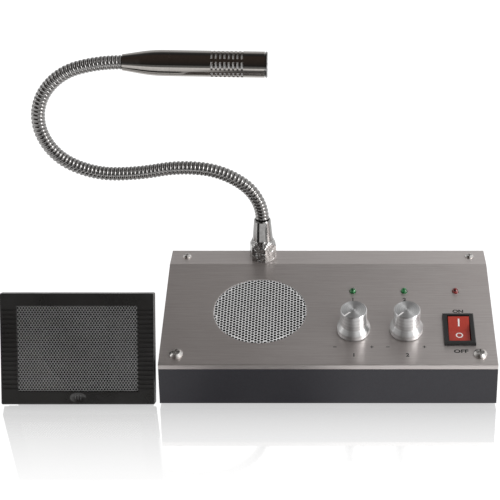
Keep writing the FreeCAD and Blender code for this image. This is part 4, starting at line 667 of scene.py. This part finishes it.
# --- Perforated sheets ---------------------------------------------------------------------
def perforated_tree():
    """A sheet in the plane of its outline, with staggered rows of holes near its middle."""
    t, i = geometry_tree("perforated_sheet", {
        "Outline": "Geometry", "Columns": "Int", "Rows": "Int", "Reach": "Float",
        "Thickness": "Float", "Pitch": "Float", "Row Pitch": "Float", "Hole": "Float",
        "Finish": "Material",
    }, "Sheet")

    def place():
        return t.add("GeometryNodeInputPosition").outputs[0]

    wide, high = (
        t.math("MULTIPLY", t.math("SUBTRACT", i[count], 1.0), i[pitch])
        for count, pitch in (("Columns", "Pitch"), ("Rows", "Row Pitch"))
    )
    inputs = {"Size X": wide, "Size Y": high, "Vertices X": i["Columns"], "Vertices Y": i["Rows"]}
    grid = t.add("GeometryNodeMeshGrid", inputs).outputs[0]
    row = t.math("ABSOLUTE", t.math("DIVIDE", t.split(place())[1], i["Row Pitch"]))
    odd = t.math("MODULO", t.math("ROUND", row), 2.0)
    side = t.math("MULTIPLY_ADD", odd, 2 * STAGGER, -STAGGER)
    shift = t.xyz(t.math("MULTIPLY", side, i["Pitch"]), 0.0, 0.0)
    spots = t.add("GeometryNodeSetPosition", {"Geometry": grid, "Offset": shift}).outputs[0]
    far = t.math("GREATER_THAN", t.measure("LENGTH", place()), i["Reach"])
    spots = t.add("GeometryNodeDeleteGeometry", {"Geometry": spots, "Selection": far}).outputs[0]

    inputs = {"Resolution": HOLE_SIDES, "Radius": i["Hole"]}
    hole = t.add("GeometryNodeCurvePrimitiveCircle", inputs).outputs[0]
    holes = t.add("GeometryNodeInstanceOnPoints", {"Points": spots, "Instance": hole}).outputs[0]
    holes = t.add("GeometryNodeRealizeInstances", {0: holes}).outputs[0]
    back = t.add("GeometryNodeFillCurve", {0: t.join(holes, i["Outline"])}).outputs[0]
    inputs = {"Mesh": back, "Offset": t.xyz(0.0, 0.0, i["Thickness"]), "Individual": False}
    front = t.add("GeometryNodeExtrudeMesh", inputs, mode="FACES").outputs[0]

    sheet = t.join(front, t.add("GeometryNodeFlipFaces", {0: back}).outputs[0])
    inputs = {"Geometry": sheet, "Distance": MERGE_DISTANCE / 1000}
    whole = t.add("GeometryNodeMergeByDistance", inputs).outputs[0]
    return close_geometry(t, whole, i["Finish"])


PERFORATED = perforated_tree()


def perforated_sheet(name, outline, material, matrix, count, pitch, hole, reach, thickness):
    """A sheet within an outline, raised from the matrix's place; count and pitch are pairs."""
    line = line_object(name, [(x / 1000, y / 1000, 0) for x, y in outline], closed=True)
    mesh = shaped(line, PERFORATED, {
        "Columns": count[0],
        "Rows": count[1],
        "Pitch": pitch[0] / 1000,
        "Row Pitch": pitch[1] / 1000,
        "Hole": hole / 1000,
        "Reach": reach / 1000,
        "Thickness": thickness / 1000,
        "Finish": material,
    })
    mesh.transform(matrix)
    return mesh


def make_outer_sheet():
    """The outer unit's sheet, with holes all over it."""
    x, y = (size / 2 for size in SHEET_SIZE)
    mesh = perforated_sheet(
        "outer_sheet", [(-x, -y), (x, -y), (x, y), (-x, y)], MESH_STEEL,
        outer_face(0, SHEET_MIDDLE, SHEET_BACK), count=SHEET_COUNT, pitch=SHEET_PITCH,
        hole=SHEET_HOLE, reach=sum(SHEET_SIZE), thickness=SHEET_THICKNESS,
    )
    piece = add_piece("outer_sheet", mesh, MESH_STEEL, "outer_head")
    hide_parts("outer_mesh")


def edge_holes():
    """The middles of the grille's holes that would cross its rim, moved out to bite into it."""
    half = GRILLE_COUNT // 2 + 1
    for row in range(-half, half + 1):
        shift = STAGGER if row % 2 else -STAGGER
        for column in range(-half, half + 1):
            place = Vector(((column + shift) * GRILLE_PITCH, row * GRILLE_ROW))
            if GRILLE_REACH < place.length < GRILLE_FACE + GRILLE_HOLE:
                yield place * max(1, GRILLE_BITE / place.length)


def notched_rim():
    """The rim of the grille's face, with the edge holes' bites."""
    holes = list(edge_holes())
    rim = []
    for k in range(RIM_STEPS):
        angle = 2 * math.pi * k / RIM_STEPS
        way = Vector((math.cos(angle), math.sin(angle)))
        reach = GRILLE_FACE
        for hole in holes:
            along = hole.dot(way)
            square = GRILLE_HOLE ** 2 - hole.length_squared + along ** 2
            half_span = math.sqrt(max(0, square))
            if along - half_span < GRILLE_FACE < along + half_span:
                reach = min(reach, along - half_span)
        rim.append(way * reach)
    return rim


def make_grille():
    """The speaker's grille: its face, and the wall and flange that hold it under the plate."""
    upright = Matrix.Rotation(math.pi / 2, 4, "Z")
    mesh = perforated_sheet(
        "grille_face", notched_rim(), GRILLE_STEEL,
        panel(GRILLE_X, GRILLE_V, -GRILLE_SUNK - GRILLE_SHEET) @ upright,
        count=(GRILLE_COUNT, GRILLE_COUNT), pitch=(GRILLE_PITCH, GRILLE_ROW),
        hole=GRILLE_HOLE, reach=GRILLE_REACH, thickness=GRILLE_SHEET,
    )
    piece = add_piece("grille_face", mesh, GRILLE_STEEL, "desk_unit")
    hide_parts("speaker_grille")
    inner, outer = GRILLE_WALL
    low, seat, top = -PLATE_SHEET - FLANGE_SHEET, -PLATE_SHEET, -GRILLE_SUNK
    profile = [
        (GRILLE_FLANGE, low), (GRILLE_FLANGE, seat), (outer, seat),
        (outer, top), (inner, top), (inner, low),
    ]
    # The wall takes the grille's punched finish, so painted shade darkens its sides that face away
    # from the panel's outward side.
    wall = turned_ring("grille_wall", profile, panel(GRILLE_X, GRILLE_V), WALL_STEPS)
    add_piece("grille_wall", wall, GRILLE_STEEL, "desk_unit")


# --- Printed and painted marks -------------------------------------------------------------
def add_print(name, mesh):
    return add_piece(name, mesh, BLACK_INK, "desk_unit")


def print_words(name, words, width, x, v):
    """Printed words of a given width, in the middle of a place on the panel."""
    text = bpy.data.curves.new(name, "FONT")
    text.body = words
    text.extrude = 0.5
    text.offset = PRINT_WEIGHT
    obj = bpy.data.objects.new(name, text)
    bpy.context.scene.collection.objects.link(obj)
    mesh = baked(obj)
    low, high = (
        Vector((end(v.co.x for v in mesh.vertices), end(v.co.y for v in mesh.vertices), 0))
        for end in (min, max)
    )
    size = high - low
    scale = Matrix.Diagonal((width / size.x, PRINT_HEIGHT / size.y, INK, 1))
    place = panel(x, v, INK / 2) @ Matrix.Scale(0.001, 4) @ scale
    mesh.transform(place @ Matrix.Translation(-(low + high) / 2))
    add_print(name, mesh)


def make_panel_print():
    """ON and OFF by the switch, + and - by the knobs, and plain digits for the rest."""
    print_words("print_on", "ON", width=5.2, x=63.3, v=36.9)
    print_words("print_off", "OFF", width=6.9, x=63.1, v=9.2)
    for digit, x in zip("12", KNOB_X.values()):
        print_words("print_knob_" + digit, digit, DIGIT_WIDTH[digit], x, KNOB_DIGIT_V)
        print_words("print_lamp_" + digit, digit, DIGIT_WIDTH[digit], x, LAMP_DIGIT_V)
    for digit, knob in zip("12", KNOB_X):
        for sign, x in (("minus_", MINUS_X[knob]), ("plus_bar_", PLUS_X[knob])):
            name = "print_" + sign + digit
            size = (SIGN_LENGTH, SIGN_STROKE, INK)
            add_print(name, bar(name, size, panel(x, SIGN_V, INK / 2)))
        name = "print_plus_stem_" + digit
        size = (SIGN_STROKE, SIGN_LENGTH, INK * 1.1)
        add_print(name, bar(name, size, panel(PLUS_X[knob], SIGN_V, INK / 2)))


def rocker_face(along):
    """A place on the rocker's upper (along above 0) or lower face, at rest."""
    tilt = Matrix.Rotation(ROCKER_TILT, 4, "X")
    crease = panel(SWITCH_X, CONTROL_V, -ROCKER_DEPTH) @ tilt
    crease = crease @ Matrix.Translation((0, 0, ROCKER_FACE / 1000))
    facet = Matrix.Rotation(ROCKER_TILT if along > 0 else -ROCKER_TILT, 4, "X")
    return crease @ facet @ Matrix.Translation((0, along / 1000, INK / 2000))


def make_rocker_marks():
    """The stroke and the circle on the rocker's two faces."""
    stroke = bar("rocker_mark_i", (*STROKE_SIZE, INK), rocker_face(STROKE_PLACE))
    add_piece("rocker_mark_i", stroke, WHITE_PAINT, "rocker")
    outer, inner = CIRCLE_RADII
    section = [(outer, -INK / 2), (outer, INK / 2), (inner, INK / 2), (inner, -INK / 2)]
    circle = turned_ring("rocker_mark_o", section, rocker_face(CIRCLE_PLACE))
    add_piece("rocker_mark_o", circle, WHITE_PAINT, "rocker")


def make_knob_pointers():
    """White paint in each knob's pointer groove, over its top and down its side."""
    side = KNOB_RADIUS - POINTER_INSET
    length = side - POINTER_START
    drop = POINTER_DROP - POINTER_SHORT
    top_place = (POINTER_START + length / 2, 0, KNOB_HEIGHT - POINTER_SUNK)
    side_place = (side, 0, KNOB_HEIGHT - POINTER_EDGE - drop / 2)
    for body, x in KNOB_X.items():
        turned = panel(x, CONTROL_V) @ Matrix.Rotation(KNOB_REST, 4, "Z")
        for end, size, place in (
            ("_pointer_top", (length, POINTER_WIDTH, POINTER_PAINT), top_place),
            ("_pointer_side", (POINTER_PAINT, POINTER_WIDTH, drop), side_place),
        ):
            mesh = bar(body + end, size, turned @ Matrix.Translation(Vector(place) / 1000))
            add_piece(body + end, mesh, WHITE_PAINT, body)


# --- Room, in metres -----------------------------------------------------------------------
BACKDROP_LEVEL = 0.7
FLOOR_HALF, FLOOR_DROP = 8.0, 0.0002
FLOOR_WHITE = 1.0
FLOOR_GREY = (0.25, 0.25, 0.25, 1)
MIRROR = 0.64
MIRROR_FADE = 16.0
# Along the table from one metre in front of the object's middle, and across it from half a
# metre on its left: where metal sees the table, and a dark card on it
START_Y, START_X = -1.0, -0.5
TABLE_ALONG = (0.60, 0.04), (0.65, 1.0)
CARD_ALONG = (0.82, 0.0), (0.84, 1.0), (0.96, 1.0), (0.98, 0.0)
CARD_ACROSS = (0.45, 0.0), (0.48, 1.0), (0.525, 1.0), (0.55, 0.0)


def seen(t):
    """1 for rays of the camera and of mirror-like or clear surfaces, and 0 for the rest."""
    ray = t.add("ShaderNodeLightPath").outputs
    mirror = t.math("MAXIMUM", ray["Is Glossy Ray"], ray["Is Transmission Ray"])
    return t.math("MAXIMUM", ray["Is Camera Ray"], mirror)


def mirror_strength(t, place):
    """How much the table mirrors: it fades away from the object's foot."""
    low, high = CAD_BOX
    middle = ((low[0] + high[0]) / 2, (low[1] + high[1]) / 2, 0)
    foot = ((high[0] - low[0]) / 2, (high[1] - low[1]) / 2, 1)
    away = t.vector("ABSOLUTE", t.vector("SUBTRACT", place, middle))
    away = t.vector("MAXIMUM", t.vector("SUBTRACT", away, foot), (0, 0, 0))
    fade = t.math("MULTIPLY", t.measure("LENGTH", away), -MIRROR_FADE)
    return t.math("MULTIPLY", t.math("EXPONENT", fade), MIRROR)


def table_glow(t, place):
    """Where the table shines: everywhere to the camera, and to metal around the dark card."""
    across, along = t.split(place)[:2]
    across, along = t.math("SUBTRACT", across, START_X), t.math("SUBTRACT", along, START_Y)
    card = t.math("MULTIPLY", t.ramp(along, *CARD_ALONG), t.ramp(across, *CARD_ACROSS))
    table = t.math("MULTIPLY", t.ramp(along, *TABLE_ALONG), t.math("SUBTRACT", 1.0, card))
    camera = t.add("ShaderNodeLightPath").outputs["Is Camera Ray"]
    return t.math("MAXIMUM", camera, t.math("MULTIPLY", seen(t), table))


def make_floor():
    """A white table that mirrors the object near its foot."""
    mesh = bpy.data.meshes.new("floor")
    corners = [(-1, -1), (1, -1), (1, 1), (-1, 1)]
    points = [(x * FLOOR_HALF, y * FLOOR_HALF, -FLOOR_DROP) for x, y in corners]
    mesh.from_pydata(points, [], [(0, 1, 2, 3)])
    floor = bpy.data.objects.new("floor", mesh)
    bpy.context.scene.collection.objects.link(floor)
    material, t, place = new_finish("floor_white")
    nodes = material.node_tree.nodes
    nodes.remove(nodes["Principled BSDF"])
    mirror = mirror_strength(t, place)
    paint = t.add("ShaderNodeBsdfDiffuse", {"Color": FLOOR_GREY}).outputs[0]
    rough = t.math("MULTIPLY_ADD", t.noise(place, TABLE_POLISH), 0.02, 0.02)
    gloss = t.add("ShaderNodeBsdfGlossy", {"Color": (1, 1, 1, 1), "Roughness": rough}).outputs[0]
    surface = t.add("ShaderNodeMixShader", {0: mirror, 1: paint, 2: gloss}).outputs[0]
    white = t.math("MULTIPLY_ADD", mirror, -BACKDROP_LEVEL, FLOOR_WHITE)
    strength = t.math("MULTIPLY", table_glow(t, place), white)
    glow = t.add("ShaderNodeEmission", {"Strength": strength}).outputs[0]
    both = t.add("ShaderNodeAddShader", {0: surface, 1: glow}).outputs[0]
    t.link(both, nodes["Material Output"].inputs["Surface"])
    mesh.materials.append(material)


def make_world():
    """A studio: white to the eye, plain to paint, and to metal a dark room, a pale backdrop
    behind the object and bright sides."""
    world = bpy.data.worlds.new("studio")
    bpy.context.scene.world = world
    world.use_nodes = True
    t = Tree(world.node_tree)
    x, y, up = t.split(t.add("ShaderNodeTexCoord").outputs["Generated"])
    across, along = (t.math("MULTIPLY_ADD", way, 0.5, 0.5) for way in (x, y))
    backdrop = t.ramp(
        up, (0.0, 0.10), (0.08, BACKDROP_LEVEL), (0.62, BACKDROP_LEVEL), (0.85, 0.07), (1.0, 0.035)
    )
    room = t.ramp(up, (0.0, 0.03), (0.5, (0.05, 0.04, 0.035)), (1.0, (0.065, 0.05, 0.042)))
    middle = t.mix(t.ramp(along, (0.5, 0.0), (0.6, 1.0)), room, backdrop)
    sides = t.ramp(
        across, (0.0, 0.5), (0.2, 0.15), (0.3, 0.0), (0.52, 0.0), (0.64, 0.9), (1.0, 0.9)
    )
    dome = t.mix(1.0, middle, sides, "SCREEN")
    ray = t.add("ShaderNodeLightPath").outputs
    plain = t.mix(ray["Is Diffuse Ray"], dome, (0.6, 0.6, 0.6, 1))
    shown = t.math("MAXIMUM", ray["Is Camera Ray"], ray["Is Transmission Ray"])
    whole = t.mix(shown, plain, (1, 1, 1, 1))
    t.link(whole, world.node_tree.nodes["Background"].inputs["Color"])


def softbox(name, place, aim, size, power):
    light = bpy.data.lights.new(name, "AREA")
    light.shape = "RECTANGLE"
    light.size, light.size_y = size
    light.energy = power
    lamp = bpy.data.objects.new(name, light)
    bpy.context.scene.collection.objects.link(lamp)
    lamp.location = place
    lamp.rotation_euler = (Vector(aim) - Vector(place)).to_track_quat("-Z", "Y").to_euler()


def make_lights():
    softbox("key_right", place=(0.75, -0.4, 0.35), aim=(0.04, 0, 0.03), size=(0.35, 0.6), power=4.5)
    softbox("fill_left", place=(-1.1, -0.1, 0.5), aim=(0, 0, 0.05), size=(0.3, 0.6), power=1.2)


def make_camera():
    """In front of the desk unit's middle and above it; the shift brings in the outer unit."""
    camera = bpy.data.objects.new("camera", bpy.data.cameras.new("camera"))
    bpy.context.scene.collection.objects.link(camera)
    camera.location = (MIDDLE_X / 1000, -0.6594, 0.3722)
    camera.rotation_euler = (math.radians(64.84), 0, 0)
    camera.data.lens = 108.57
    camera.data.shift_x = -0.1562
    bpy.context.scene.camera = camera


finish_frame_nodes()
make_neck()
make_outer_sheet()
make_grille()
make_panel_print()
make_rocker_marks()
make_knob_pointers()
make_floor()
make_world()
make_lights()
make_camera()
bpy.context.scene.view_settings.view_transform = "Standard"
